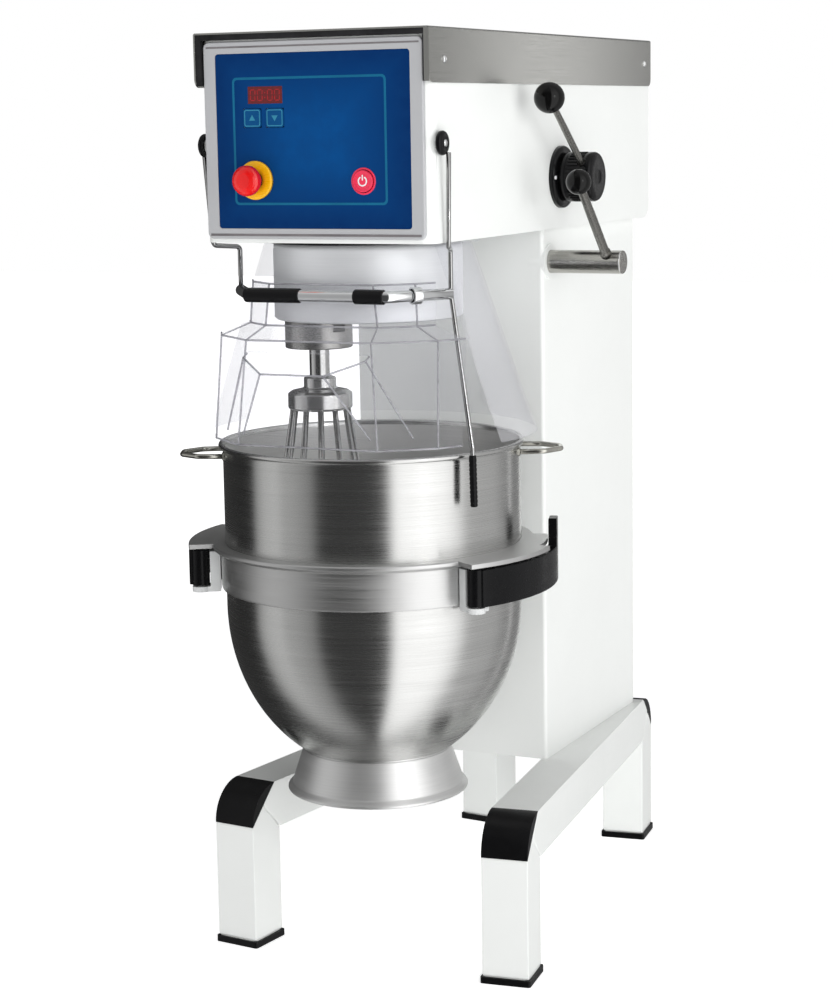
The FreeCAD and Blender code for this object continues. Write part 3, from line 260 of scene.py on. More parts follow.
def moulded(name, colour, roughness, grain=520.0, depth=0.20, coat=0.0):
    """Moulded plastic: leathery spark grain, faint flow marks, rubbed edges."""
    made = Shader(name, colour, roughness)
    cells = made.add("ShaderNodeTexVoronoi", feature="SMOOTH_F1")
    made.feed(made.place(), cells.inputs["Vector"])
    cells.inputs["Scale"].default_value = grain
    flow = made.noise(made.place(), 14.0, 4.0)
    made.vary_colour(made.spread(flow, 0, 1), 0.80, 1.25)
    made.vary_roughness(made.noise(made.place(), 70.0, 4.0), roughness * 0.8, roughness * 1.25)
    made.bump(cells.outputs["Distance"], depth, 0.0003)
    lighter = tuple(min(1.0, part * 2.5 + 0.02) for part in colour)
    made.edge_wear(0.30, lighter, 0.0015)
    return made.set(Coat_Weight=coat, Coat_Roughness=0.06, Specular_IOR_Level=0.16).material


def glossy_plastic(name, colour, roughness=0.12, coat=0.6, specular=0.5):
    """Polished plastic: nearly even, with fine scuffs and slight waviness."""
    made = Shader(name, colour, roughness)
    scuff = made.noise(made.place(scale=(1, 1, 4)), 130.0, 6.0, 0.7)
    made.vary_colour(made.spread(made.noise(made.place(), 20.0), 0, 1), 0.90, 1.06)
    made.vary_roughness(scuff, roughness * 0.7, roughness * 1.8)
    made.bump(made.noise(made.place(), 38.0, 2.0), 0.02, 0.0006)
    return made.set(Coat_Weight=coat, Coat_Roughness=0.05, Specular_IOR_Level=specular).material


def rubber(name):
    made = Shader(name, (0.013, 0.013, 0.014), 0.62)
    made.vary_colour(made.spread(made.noise(made.place(), 35.0, 5.0), 0, 1), 0.7, 1.6)
    made.vary_roughness(made.noise(made.place(), 200.0, 3.0), 0.5, 0.75)
    made.bump(made.noise(made.place(), 900.0, 2.0), 0.15, 0.0003)
    return made.set(Specular_IOR_Level=0.2).material


def cast_metal(name, colour, metallic):
    """Sand casting under thin paint or bare: pebbled skin and uneven colour."""
    made = Shader(name, colour, 0.55, metallic)
    pebbles = made.noise(made.place(), 260.0, 5.0, 0.65)
    made.vary_colour(made.spread(made.noise(made.place(), 12.0, 5.0), 0, 1), 0.84, 1.08)
    made.vary_roughness(pebbles, 0.42, 0.68)
    made.bump(pebbles, 0.35, 0.0006)
    return made.material


def clear_plastic(name, tint, haze, roughness=0.03):
    """Thin clear polycarbonate: a cool cast, a mirror film that grows at grazing angles, faint haze."""
    made = Shader(name, (0.93, 0.93, 0.96), roughness)
    wipe = made.noise(made.place(scale=(2, 2, 9)), 16.0, 6.0, 0.7)
    made.vary_roughness(wipe, roughness * 0.3, roughness * 3)
    made.bump(made.noise(made.place(), 7.0, 2.0), 0.06, 0.002)
    through = made.add("ShaderNodeBsdfTransparent")
    through.inputs["Color"].default_value = (*tint, 1.0)
    film = made.add("ShaderNodeLayerWeight")
    film.inputs["Blend"].default_value = 0.22
    seen = made.math("ADD", made.math("MULTIPLY", film.outputs["Fresnel"], 0.20),
                     made.spread(wipe, haze * 0.6, haze * 1.4))
    chosen = made.add("ShaderNodeMixShader")
    made.feed(seen, chosen.inputs[0])
    made.feed(through.outputs[0], chosen.inputs[1])
    made.feed(made.surface.outputs[0], chosen.inputs[2])
    made.feed(chosen.outputs[0], made.tree.nodes["Material Output"].inputs["Surface"])
    return made.material


def printed_film(name, centre, half):
    """Screen-printed polyester film: royal blue field, darker at its border, fine texture."""
    made = Shader(name, (0.0035, 0.050, 0.185), 0.34)
    split = made.add("ShaderNodeSeparateXYZ")
    made.feed(made.place(offset=-centre), split.inputs[0])
    reach = []
    for socket, size in ((split.outputs[0], half.x), (split.outputs[2], half.z)):
        reach.append(made.math("DIVIDE", made.math("ABSOLUTE", socket), size))
    outward = made.math("MAXIMUM", *reach)
    blue = made.mix(made.spread(outward, 0, 1, 0.25, 0.95), (0.0030, 0.062, 0.225), (0.0020, 0.026, 0.115))
    ink = made.spread(made.noise(made.place(), 55.0, 4.0), 0, 0.35)
    made.feed(made.mix(ink, blue, (0.004, 0.040, 0.150)), made.surface.inputs["Base Color"])
    made.vary_roughness(made.noise(made.place(), 240.0, 3.0), 0.28, 0.42)
    made.bump(made.noise(made.place(), 1600.0, 2.0), 0.18, 0.0002)
    return made.set(Specular_IOR_Level=0.03).material


def circuit_board(name):
    made = Shader(name, (0.012, 0.11, 0.045), 0.32)
    bricks = made.add("ShaderNodeTexVoronoi", feature="DISTANCE_TO_EDGE")
    made.feed(made.place(), bricks.inputs["Vector"])
    bricks.inputs["Scale"].default_value = 150.0
    track = made.spread(bricks.outputs["Distance"], 1, 0, 0.02, 0.06)
    made.feed(made.mix(track, (0.012, 0.11, 0.045), (0.03, 0.22, 0.09)), made.surface.inputs["Base Color"])
    made.bump(track, 0.2, 0.0002)
    return made.material


def lit_display(name, colour, strength):
    made = Shader(name, colour, 0.2)
    flicker = made.noise(made.place(), 300.0, 2.0)
    made.vary_colour(made.spread(flicker, 0, 1), 0.75, 1.1)
    made.feed(made.mix(made.spread(flicker, 0, 1), tuple(part * 0.8 for part in colour), colour),
              made.surface.inputs["Emission Color"])
    return made.set(Emission_Strength=strength, Coat_Weight=0.8, Coat_Roughness=0.05).material


BOWL_CENTRE = (0.0, AXIS_Y)
PANEL_LOW, PANEL_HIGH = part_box("panel_membrane")

WHITE = powder_coat("white_powder_coat", (0.80, 0.815, 0.80))
BEZEL = powder_coat("bezel_grey_coat", (0.42, 0.425, 0.44))
CAP_BLACK = moulded("cap_black_plastic", (0.004, 0.004, 0.0045), 0.34, 420.0, 0.25)
LOCK_BLACK = moulded("lock_black_plastic", (0.004, 0.004, 0.0045), 0.26, 380.0, 0.25)
HOOD_STEEL = brushed("hood_brushed_steel", (0.50, 0.50, 0.475), 0.20, (900, 9, 900), 1.0, 0.06)
BOWL_STEEL = spun_steel("bowl_brushed_steel", (0.60, 0.60, 0.59), 0.25, BOWL_CENTRE, 0.75)
BOWL_INSIDE = spun_steel("bowl_inner_steel", (0.66, 0.66, 0.65), 0.40, BOWL_CENTRE, 0.4, 900.0, 0.06, 0.45)
COLLAR_STEEL = spun_steel("collar_satin_steel", (0.68, 0.68, 0.675), 0.42, BOWL_CENTRE, 0.35, 500.0, 0.06)
FOOT_STEEL = spun_steel("foot_satin_steel", (0.74, 0.74, 0.735), 0.40, BOWL_CENTRE, 0.35, 500.0, 0.05, 0.85)
DRUM_METAL = spun_steel("drum_satin_aluminium", (0.72, 0.73, 0.75), 0.45, BOWL_CENTRE, 0.5, 500.0, 0.03, 0.4)
HUB_STEEL = turned_steel("hub_turned_steel", (0.40, 0.395, 0.38), 0.30)
WIRE_STEEL = turned_steel("bright_wire_steel", (0.66, 0.66, 0.65), 0.16)
ROD_STEEL = brushed("rod_satin_steel", (0.24, 0.235, 0.22), 0.26, (600, 600, 60))
SHAFT_STEEL = brushed("shaft_satin_steel", (0.42, 0.41, 0.385), 0.24, (20, 700, 700))
HANDLE_STEEL = turned_steel("handle_wire_steel", (0.56, 0.55, 0.50), 0.20)
GROUND_STEEL = turned_steel("ground_steel", (0.60, 0.60, 0.61), 0.18)
ZINC = turned_steel("zinc_plate", (0.66, 0.66, 0.60), 0.30)
SCREW_STEEL = turned_steel("screw_bright_steel", (0.82, 0.82, 0.82), 0.18)
CHROME = chrome("polished_chrome")
GUARD_WIRE = turned_steel("guard_wire_steel", (0.50, 0.50, 0.50), 0.14)
YOKE_GREY = cast_metal("yoke_painted_casting", (0.60, 0.61, 0.61), 0.0)
IRON = cast_metal("housing_cast_iron", (0.20, 0.205, 0.21), 0.7)
MOTOR_PAINT = cast_metal("motor_enamel", (0.13, 0.16, 0.18), 0.0)
CLEAR = clear_plastic("clear_polycarbonate", (0.982, 0.982, 0.988), 0.02)
# Darkened clear tint for tubes along the screen's bends and cut edges: painted shade where refraction greys
# the sheet.
CLEAR_EDGE_SHADE = clear_plastic("clear_polycarbonate_painted_edge_shade", (0.55, 0.55, 0.58), 0.25, 0.10)
BALL_BLACK = glossy_plastic("ball_black_phenolic", (0.003, 0.003, 0.003), 0.06, 0.0, 0.22)
HUB_BLACK = glossy_plastic("hub_black_plastic", (0.004, 0.004, 0.0045), 0.16, 0.0, 0.20)
STOP_RED = glossy_plastic("stop_red_plastic", (0.72, 0.006, 0.006), 0.16, 0.5)
STOP_YELLOW = glossy_plastic("stop_yellow_plastic", (0.90, 0.48, 0.004), 0.22, 0.3)
START_PINK = glossy_plastic("start_red_plastic", (0.80, 0.030, 0.085), 0.18, 0.5)
STEM_BLACK = moulded("stem_black_plastic", (0.03, 0.03, 0.03), 0.4)
GROOVE = moulded("bezel_groove_shade", (0.16, 0.15, 0.155), 0.45)
KEY_BLUE = glossy_plastic("key_blue_film", (0.002, 0.065, 0.200), 0.30, 0.0, 0.12)
PRINT_TEAL = glossy_plastic("print_teal_ink", (0.006, 0.120, 0.230), 0.34, 0.0, 0.12)
PRINT_PALE = glossy_plastic("print_pale_ink", (0.035, 0.220, 0.340), 0.34, 0.0, 0.12)
PRINT_WHITE = glossy_plastic("print_white_ink", (0.80, 0.80, 0.82), 0.30, 0.0)
SEAL = rubber("seal_rubber")
BELT = rubber("belt_rubber")
FILM = printed_film("panel_blue_film", (PANEL_LOW + PANEL_HIGH) / 2, (PANEL_HIGH - PANEL_LOW) / 2)
BOARD = circuit_board("control_board")
WINDOW = lit_display("display_dark_red", (0.10, 0.001, 0.003), 0.25)
SEGMENTS = lit_display("display_segments", (0.30, 0.003, 0.006), 0.18)


# ---------------------------------------------------------------- mesh building blocks

def drawn(work, name, outward=True):
    """The finished mesh from a bmesh, which is freed."""
    if outward:
        bmesh.ops.recalc_face_normals(work, faces=work.faces)
    mesh = bpy.data.meshes.new(name)
    work.to_mesh(mesh)
    work.free()
    return mesh


def softened(points, radii, steps=5):
    """A closed outline of (x, y) points with its corners rounded."""
    return [(spot.x, spot.y) for spot in rounded_outline([Vector(point) for point in points], radii, steps)]


def finish_mesh(name, mesh, material, body, smooth=True):
    """Makes the object, gives it its material, and rides it on its body."""
    mesh.validate()
    if smooth:
        mesh.shade_smooth()
    made = bpy.data.objects.new(name, mesh)
    bpy.context.scene.collection.objects.link(made)
    made.data.materials.append(material)
    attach(made, body)
    return made


def weighted(piece):
    """Flat faces stay flat and small ones between them carry the rounding."""
    modifier = piece.modifiers.new("weighted", "WEIGHTED_NORMAL")
    modifier.weight = 100
    modifier.keep_sharp = False
    return piece


def bevelled(piece, width, segments=3, angle=30.0):
    modifier = piece.modifiers.new("bevel", "BEVEL")
    modifier.width = width
    modifier.segments = segments
    modifier.limit_method = "ANGLE"
    modifier.angle_limit = math.radians(angle)
    modifier.miter_outer = "MITER_ARC"
    return weighted(piece)


def aim(direction):
    """Rotation that takes +z to the direction."""
    return Vector(direction).normalized().to_track_quat("Z", "Y").to_matrix().to_4x4()


def rounded_outline(points, radius, steps=5, closed=True):
    """A flat outline with its corners replaced by arcs; radius may be one number or one a corner."""
    count = len(points)
    radii = radius if hasattr(radius, "__len__") else [radius] * count
    result = []
    for index in range(count):
        here = Vector(points[index])
        if (not closed and index in (0, count - 1)) or radii[index] <= 0:
            result.append(here)
            continue
        back = (Vector(points[index - 1]) - here).normalized()
        ahead = (Vector(points[(index + 1) % count]) - here).normalized()
        half = back.angle(ahead) / 2
        if half > math.radians(89):
            result.append(here)
            continue
        cut = radii[index] / math.tan(half)
        middle = here + (back + ahead).normalized() * (radii[index] / math.sin(half))
        start, end = here + back * cut - middle, here + ahead * cut - middle
        for step in range(steps + 1):
            share = step / steps
            turned = start.slerp(end, share).normalized() * start.length
            result.append(middle + turned)
    return result


def lathe(name, outline, material, body, slot, centre, axis=(0, 0, 1), segments=128, closed=True):
    """Turns (radius, height) points in millimetres about an axis through centre."""
    work = bmesh.new()
    place = Matrix.Translation(centre) @ aim(axis)
    rings = []
    for radius, height in outline:
        if radius < 1e-6:
            rings.append([work.verts.new(place @ Vector((0, 0, height / 1000)))])
            continue
        ring = []
        for index in range(segments):
            angle = 2 * math.pi * index / segments
            spot = Vector((radius * math.cos(angle), radius * math.sin(angle), height)) / 1000
            ring.append(work.verts.new(place @ spot))
        rings.append(ring)
    pairs = list(zip(rings, rings[1:] + rings[:1])) if closed else list(zip(rings, rings[1:]))
    for low, high in pairs:
        if len(low) == 1 and len(high) == 1:
            continue
        for index in range(segments):
            after = (index + 1) % segments
            if len(low) == 1:
                work.faces.new((low[0], high[after], high[index]))
            elif len(high) == 1:
                work.faces.new((low[index], low[after], high[0]))
            else:
                work.faces.new((low[index], low[after], high[after], high[index]))
    return weighted(finish_mesh(name, drawn(work, name), material, body))


def tube_path(points, bend, steps=8):
    """Points along a bent rod: each inner corner becomes an arc."""
    return rounded_outline(points, bend, steps, closed=False)


def tube(name, path, radius, material, body, sides=16, caps=True):
    """A round rod along a path of places in metres; radius in millimetres."""
    work = bmesh.new()
    add_tube(work, path, radius, sides, caps)
    return weighted(finish_mesh(name, drawn(work, name), material, body))


def add_tube(work, path, radius, sides=16, caps=True):
    heading = (path[1] - path[0]).normalized()
    side = heading.orthogonal().normalized()
    rings = []
    for index, spot in enumerate(path):
        before = path[max(0, index - 1)]
        after = path[min(len(path) - 1, index + 1)]
        ahead = (after - before).normalized()
        side = (side - ahead * side.dot(ahead)).normalized()
        other = ahead.cross(side)
        ring = []
        for step in range(sides):
            angle = 2 * math.pi * step / sides
            offset = (side * math.cos(angle) + other * math.sin(angle)) * radius / 1000
            ring.append(work.verts.new(spot + offset))
        rings.append(ring)
    for low, high in zip(rings, rings[1:]):
        for step in range(sides):
            after = (step + 1) % sides
            work.faces.new((low[step], low[after], high[after], high[step]))
    if caps:
        work.faces.new(list(reversed(rings[0])))
        work.faces.new(rings[-1])


def slab(name, outline, thick, material, body, place, bevel=0.0, holes=()):
    """A plate from an outline in its own (x, y) plane, in millimetres, raised along its z."""
    work = bmesh.new()
    rings = []
    for points in [outline, *holes]:
        ring = [work.verts.new(place @ Vector((x / 1000, y / 1000, 0))) for x, y in points]
        rings.append(ring)
        for index, vert in enumerate(ring):
            work.edges.new((vert, ring[(index + 1) % len(ring)]))
    bmesh.ops.triangle_fill(work, use_beauty=True, use_dissolve=False, edges=work.edges[:])
    lifted = bmesh.ops.extrude_face_region(work, geom=work.faces[:])
    raised = [part for part in lifted["geom"] if isinstance(part, bmesh.types.BMVert)]
    up = (place.to_3x3() @ Vector((0, 0, 1))).normalized() * thick / 1000
    bmesh.ops.translate(work, verts=raised, vec=up)
    bmesh.ops.dissolve_limit(work, angle_limit=0.01, verts=work.verts[:], edges=work.edges[:])
    made = finish_mesh(name, drawn(work, name), material, body)
    return bevelled(made, bevel, 2) if bevel else weighted(made)


def circle(radius, count=48, x=0.0, y=0.0, start=0.0, end=360.0, close=True):
    steps = count if close and end - start >= 360 else count + 1
    angles = [math.radians(start + (end - start) * index / count) for index in range(steps)]
    return [(x + radius * math.cos(angle), y + radius * math.sin(angle)) for angle in angles]


def rectangle(x0, x1, y0, y1, radius=0.0, steps=5):
    points = [(x0, y0), (x1, y0), (x1, y1), (x0, y1)]
    if not radius:
        return points
    return softened(points, radius, steps)


def joined(name, pieces):
    """One object from several, with the first one's parent."""
    work = bmesh.new()
    for piece in pieces:
        work.from_mesh(piece.data)
    mesh = pieces[0].data
    work.to_mesh(mesh)
    work.free()
    for piece in pieces[1:]:
        bpy.data.objects.remove(piece)
    pieces[0].name = name
    return pieces[0]


# ---------------------------------------------------------------- carried-over CAD nodes

def dress(node, material, bevel=0.0, smooth=True):
    """Gives a CAD node its finished material and, where it shows, softened edges."""
    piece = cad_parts[node]
    piece.data.materials.clear()
    piece.data.materials.append(material)
    if piece.data.has_custom_normals:
        piece.data.attributes.remove(piece.data.attributes["custom_normal"])
    if smooth:
        piece.data.shade_smooth()
    weld = piece.modifiers.new("weld", "WELD")
    weld.merge_threshold = 0.00001
    if bevel:
        bevelled(piece, bevel)
    else:
        weighted(piece)
    return piece


DRESSED = [
    (WHITE, 0.0035, ("beams", "legs")),
    (WHITE, 0.0012, ("column_shell", "rear_cover", "head_shell")),
    (WHITE, 0.0, ("column_floor",)),
    (CAP_BLACK, 0.0015, ("corner_caps", "foot_caps", "mains_gland")),
    (ZINC, 0.0005, ("base_bolts",)),
    (HOOD_STEEL, 0.0006, ("top_cover",)),
    (SEAL, 0.0008, ("cover_seal", "drum_seal")),
    (BEZEL, 0.0012, ("panel_bezel",)),
    (FILM, 0.0002, ("panel_membrane",)),
    (WINDOW, 0.0003, ("display_window",)),
    (BOARD, 0.0, ("control_board",)),
    (KEY_BLUE, 0.0003, ("key_up", "key_down")),
    (STEM_BLACK, 0.0, ("estop_stem",)),
    (MOTOR_PAINT, 0.0, ("motor",)),
    (GROUND_STEEL, 0.0, ("motor_pulley", "layshaft", "main_gear", "main_shaft")),
    (GROUND_STEEL, 0.0, ("ring_gear", "planet_pinion")),
    (GROUND_STEEL, 0.0, ("main_bearings", "planet_bearings", "guide_rods")),
    (BELT, 0.0, ("drive_belt",)),
    (IRON, 0.0, ("gear_housing",)),
    (HUB_STEEL, 0.0012, ("tool_hub",)),
    (COLLAR_STEEL, 0.0012, ("bowl_collar",)),
    (YOKE_GREY, 0.0015, ("bowl_yoke", "lift_carriage")),
    (SHAFT_STEEL, 0.0008, ("lift_shaft",)),
    (LOCK_BLACK, 0.0022, ("lock_lever_right", "lock_lever_left")),
    (CLEAR, 0.0003, ("guard_front_screen", "guard_rear_screen")),
]

for material, bevel, nodes in DRESSED:
    for node in nodes:
        dress(node, material, bevel)


# ---------------------------------------------------------------- bowl

def bowl():
    """Spun bowl with a rolled rim, drawn as its outer skin and then back up its inner one."""
    low, high = box_mm("bowl_shell")
    radius = high.x - 6.5
    rim = high.z
    depth = 258.0
    side = low.z + depth
    wall = 2.5
    steps = 44
    outer = []
    for index in range(steps + 1):
        angle = math.pi / 2 * index / steps
        outer.append((radius * math.sin(angle), side - depth * math.cos(angle)))
    inner = [(max(0.0, r - wall * math.sin(math.pi / 2 * k / steps)),
              z + wall * math.cos(math.pi / 2 * k / steps)) for k, (r, z) in enumerate(outer)]
    bead = 3.9
    middle = (radius + 2.5, rim - bead - 0.1)
    roll = []
    for index in range(17):
        angle = math.radians(-125 + 305 * index / 16)
        roll.append((middle[0] + bead * math.cos(angle), middle[1] + bead * math.sin(angle)))
    straight = [(radius, side + 40), (radius, rim - 40), (radius, rim - 11)]
    back = [(radius - wall, rim - 8), (radius - wall, rim - 40), (radius - wall, side + 40)]
    outline = outer + straight + roll + back + list(reversed(inner))
    made = lathe("bowl", outline, BOWL_STEEL, "bowl_lift", "bowl_stainless", mm(0, 0, 0), segments=192,
                 closed=False)
    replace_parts(made, "bowl_shell")
    skin = [(max(0.0, r - 0.15), z + 0.15) for r, z in reversed(back + list(reversed(inner)))]
    lathe("bowl_inner_skin", skin, BOWL_INSIDE, "bowl_lift", "bowl_stainless", mm(0, 0, 0), segments=192,
          closed=False)


def bowl_foot():
    """Flared ring under the bowl, with a rolled lower edge and a weld bead at its top."""
    low, high = box_mm("bowl_foot")
    reach = high.x
    base = low.z
    top = high.z - 0.6
    outline = [(112.0, top), (113.5, top - 6), (reach - 7, base + 11), (reach - 2.2, base + 6.5),
               (reach, base + 4), (reach, base), (reach - 6, base), (reach - 9.5, base + 5), (107.0, top - 2)]
    radii = [0, 3, 6, 2.5, 1.8, 1.8, 2.0, 4, 0]
    made = lathe("bowl_foot_ring", softened(outline, radii), FOOT_STEEL, "bowl_lift", "bowl_stainless",
                 mm(0, 0, 0), segments=160)
    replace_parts(made, "bowl_foot")
    bead = circle(2.2, 12, 112.6, top - 0.6)
    lathe("bowl_foot_weld", bead, COLLAR_STEEL, "bowl_lift", "bowl_stainless", mm(0, 0, 0), segments=160)


def bowl_handles():
    """Bent wire loops with weld pads, turned a little behind the bowl's sides."""
    low, high = box_mm("bowl_handles")
    z = (low.z + high.z) / 2
    reach = 282.0
    for side, label in ((1, "right"), (-1, "left")):
        turn = Matrix.Rotation(math.radians(25.0), 4, "Z")
        flat = [(219, -44), (reach - 26, -40), (reach, -14), (reach, 14), (reach - 26, 40), (219, 44)]
        points = [mm(*(side * (turn @ Vector((x, y, 0)))).xy, z) for x, y in flat]
        loop = tube(f"bowl_handle_{label}", tube_path(points, 0.012, 10), 3.9, HANDLE_STEEL, "bowl_lift",
                    20)
        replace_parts(loop, "bowl_handles")
        for y in (-44, 44):
            pad = side * (turn @ Vector((math.sqrt(222.5 ** 2 - y * y), y, 0)))
            outline = [(0, 2.2), (5.2, 2.0), (6.6, 1.0), (7.2, -1.5), (0, -1.5)]
            lathe(f"handle_weld_{label}_{'front' if y < 0 else 'rear'}", outline, HANDLE_STEEL, "bowl_lift",
                  "handle_wire", mm(pad.x, pad.y, z), (pad.x, pad.y, 0), 32)


bowl()
bowl_foot()
bowl_handles()


# ---------------------------------------------------------------- drum and tool

def drum():
    low, high = box_mm("planet_drum")
    radius = high.x
    outline = [(0, low.z + 0.3), (52, low.z + 0.3), (54, low.z), (radius - 3, low.z), (radius, low.z + 3),
               (radius, low.z + 30), (radius - 0.8, low.z + 31), (radius - 0.8, low.z + 33),
               (radius, low.z + 34), (radius, high.z - 9), (radius - 0.8, high.z - 8),
               (radius - 0.8, high.z), (radius - 9, high.z), (radius - 9, low.z + 22), (0, low.z + 22)]
    made = lathe("planet_drum_skin", outline, DRUM_METAL, "planet_head", "drum_aluminium", mm(0, 0, 0),
                 segments=160)
    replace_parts(made, "planet_drum")


def whisk():
    """Balloon whisk: stem, plate with a rim, and wires that meet under the tip ring."""
    head_high = box_mm("whisk_head")[1]
    wires_low, wires_high = box_mm("whisk_wires")
    middle = (wires_low + wires_high) / 2
    axis = mm(middle.x, middle.y, 0)
    reach = (wires_high.x - wires_low.x) / 2 - 2.8
    top = head_high.z - 84.0
    plate_r = 42.0
    outline = [(0, head_high.z), (15, head_high.z), (15, top + 42), (24, top + 39), (24, top + 24),
               (42, top + 20), (48, top + 16), (48, top - 5), (45, top - 8), (0, top - 8)]
    profile = softened(outline, [0, 1, 1, 2, 4, 3, 3, 2, 3, 0])
    head = lathe("whisk_head_turned", profile, WIRE_STEEL, "tool", "whisk_steel", axis, segments=64)
    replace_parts(head, "whisk_head")
    round_z = wires_low.z + 2.8 + reach
    rise = top - round_z
    lean = math.atan2(rise, plate_r) - math.acos(reach / math.hypot(plate_r, rise))
    tip = math.radians(-83)
    work = bmesh.new()
    for index in range(12):
        turn = Matrix.Rotation(2 * math.pi * index / 12, 4, "Z")
        flat = [Vector((plate_r, 0, top - 6))]
        for step in range(29):
            angle = lean + (tip - lean) * step / 28
            flat.append(Vector((reach * math.cos(angle), 0, round_z + reach * math.sin(angle))))
        add_tube(work, [axis + turn @ (spot / 1000) for spot in flat], 2.8, 12)
    cage = finish_mesh("whisk_wire_cage", drawn(work, "whisk_wire_cage"), WIRE_STEEL, "tool")
    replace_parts(cage, "whisk_wires")
    foot = [(0, wires_low.z + 6), (19, wires_low.z + 6), (19, wires_low.z + 0.4), (0, wires_low.z + 0.4)]
    lathe("whisk_tip_ring", softened(foot, [0, 2, 2, 0]), WIRE_STEEL, "tool", "whisk_steel", axis,
          segments=48)


drum()
whisk()


# ---------------------------------------------------------------- levers

def ball(name, node, body, stem, slot):
    """Phenolic ball on its rod: a flat with a steel ferrule where the rod goes in."""
    low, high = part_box(node)
    radius = (high.x - low.x) * 500
    centre = (low + high) / 2
    toward = (stem - centre).normalized()
    flat = radius * 0.80
    outline = [(0, -radius)]
    for step in range(1, 41):
        angle = -math.pi / 2 + (math.pi / 2 + math.asin(flat / radius)) * step / 40
        outline.append((radius * math.cos(angle), radius * math.sin(angle)))
    outline += [(radius * 0.42, flat - 0.2), (0, flat - 0.2)]
    made = lathe(name, outline, BALL_BLACK, body, slot, centre, toward, 96)
    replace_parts(made, node)
    ferrule = [(0, flat - 1.5), (radius * 0.40, flat - 1.5), (radius * 0.40, flat + 2.2),
               (radius * 0.36, flat + 3.0), (0, flat + 3.0)]
    lathe(f"{name}_ferrule", ferrule, SCREW_STEEL, body, "lever_steel", centre, toward, 48)
    return centre


def rod_between(name, node, body, start, end, radius, material):
    """The lever's rod, with a slight taper and a shoulder at its lower end."""
    length = (end - start).length * 1000
    outline = [(0, 0), (radius + 1.6, 0), (radius + 1.6, 9), (radius, 11.5), (radius, length * 0.6),
               (radius * 0.9, length - 6), (radius * 0.9, length), (0, length)]
    made = lathe(name, outline, material, body, "lever_steel", start, end - start, 40)
    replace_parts(made, node)


def speed_lever():
    axis = centre_mm("speed_escutcheon")
    centre = mm(0, axis.y, axis.z)
    face = box_mm("speed_hub")[1].x
    wall = box_mm("speed_escutcheon")[0].x
    outline = [(13, wall), (48, wall), (48, wall + 5.5), (46.5, wall + 8), (43, wall + 9.3), (40, wall + 9.5),
               (13, wall + 9.5)]
    plate = lathe("speed_escutcheon_plate", outline, HUB_BLACK, "frame", "speed_black", centre, (1, 0, 0),
                  128)
    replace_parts(plate, "speed_escutcheon")
    start = wall + 12.5
    ribs = [(0, start), (36, start), (38, start + 2), (38, start + 8), (36.4, start + 10),
            (36.4, face - 16), (38, face - 14), (38, face - 6), (36, face - 2.5), (32.5, face - 0.6),
            (27, face), (12, face), (10.5, face - 1.4), (0, face - 1.4)]
    hub = lathe("speed_hub_turned", ribs, HUB_BLACK, "speed_lever", "speed_black", centre, (1, 0, 0), 128)
    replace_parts(hub, "speed_hub")
    work = bmesh.new()
    for index in range(36):
        angle = 2 * math.pi * index / 36
        y, z = 37.4 * math.cos(angle), 37.4 * math.sin(angle)
        path = [centre + Vector((x, y, z)) / 1000 for x in (start + 11, start + 13, face - 19, face - 17)]
        add_tube(work, path, 0.9, 6)
    flutes = drawn(work, "speed_hub_flutes", False)
    finish_mesh("speed_hub_flutes", flutes, HUB_BLACK, "speed_lever")
    spot = Matrix.Translation(centre + Vector((wall + 9.4, -43.5, 0)) / 1000)
    mark = rectangle(-2.6, 2.6, -4.2, 4.2, 1.2)
    slab("speed_index_mark", mark, 0.35, PRINT_WHITE, "frame",
         spot @ Matrix.Rotation(math.pi / 2, 4, "Y"))
    knob_low, knob_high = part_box("speed_ball")
    knob = (knob_low + knob_high) / 2
    foot = Vector((knob.x, centre.y, centre.z))
    up = (knob - foot).normalized()
    ball("speed_knob", "speed_ball", "speed_lever", foot, "black_ball")
    rod_between("speed_lever_rod", "speed_rod", "speed_lever", foot + up * 0.030, knob - up * 0.018, 5.2,
                ROD_STEEL)


def lift_lever():
    high = box_mm("lift_shaft")[1]
    ball_low, ball_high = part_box("lift_ball")
    knob = (ball_low + ball_high) / 2
    shaft_y, shaft_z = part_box("column_shell")[0].y + 0.027, 1.052
    foot = Vector((high.x / 1000 - 0.024, shaft_y, shaft_z))
    up = (knob - foot).normalized()
    ball("lift_knob", "lift_ball", "lift_lever", foot, "black_ball")
    rod_between("lift_lever_rod", "lift_rod", "lift_lever", foot + up * 0.017, knob - up * 0.014, 7.0,
                ROD_STEEL)
    cap = [(0, 0.2), (11.5, 0.2), (12.5, -0.6), (17.0, -0.6), (17.6, -1.4), (17.6, -2.4), (0, -2.4)]
    end = Vector((high.x / 1000, shaft_y, shaft_z))
    lathe("lift_shaft_end_cap", cap, SCREW_STEEL, "lift_lever", "lever_steel", end - Vector((0.0003, 0, 0)),
          (1, 0, 0), 64)


speed_lever()
lift_lever()


# ---------------------------------------------------------------- guard

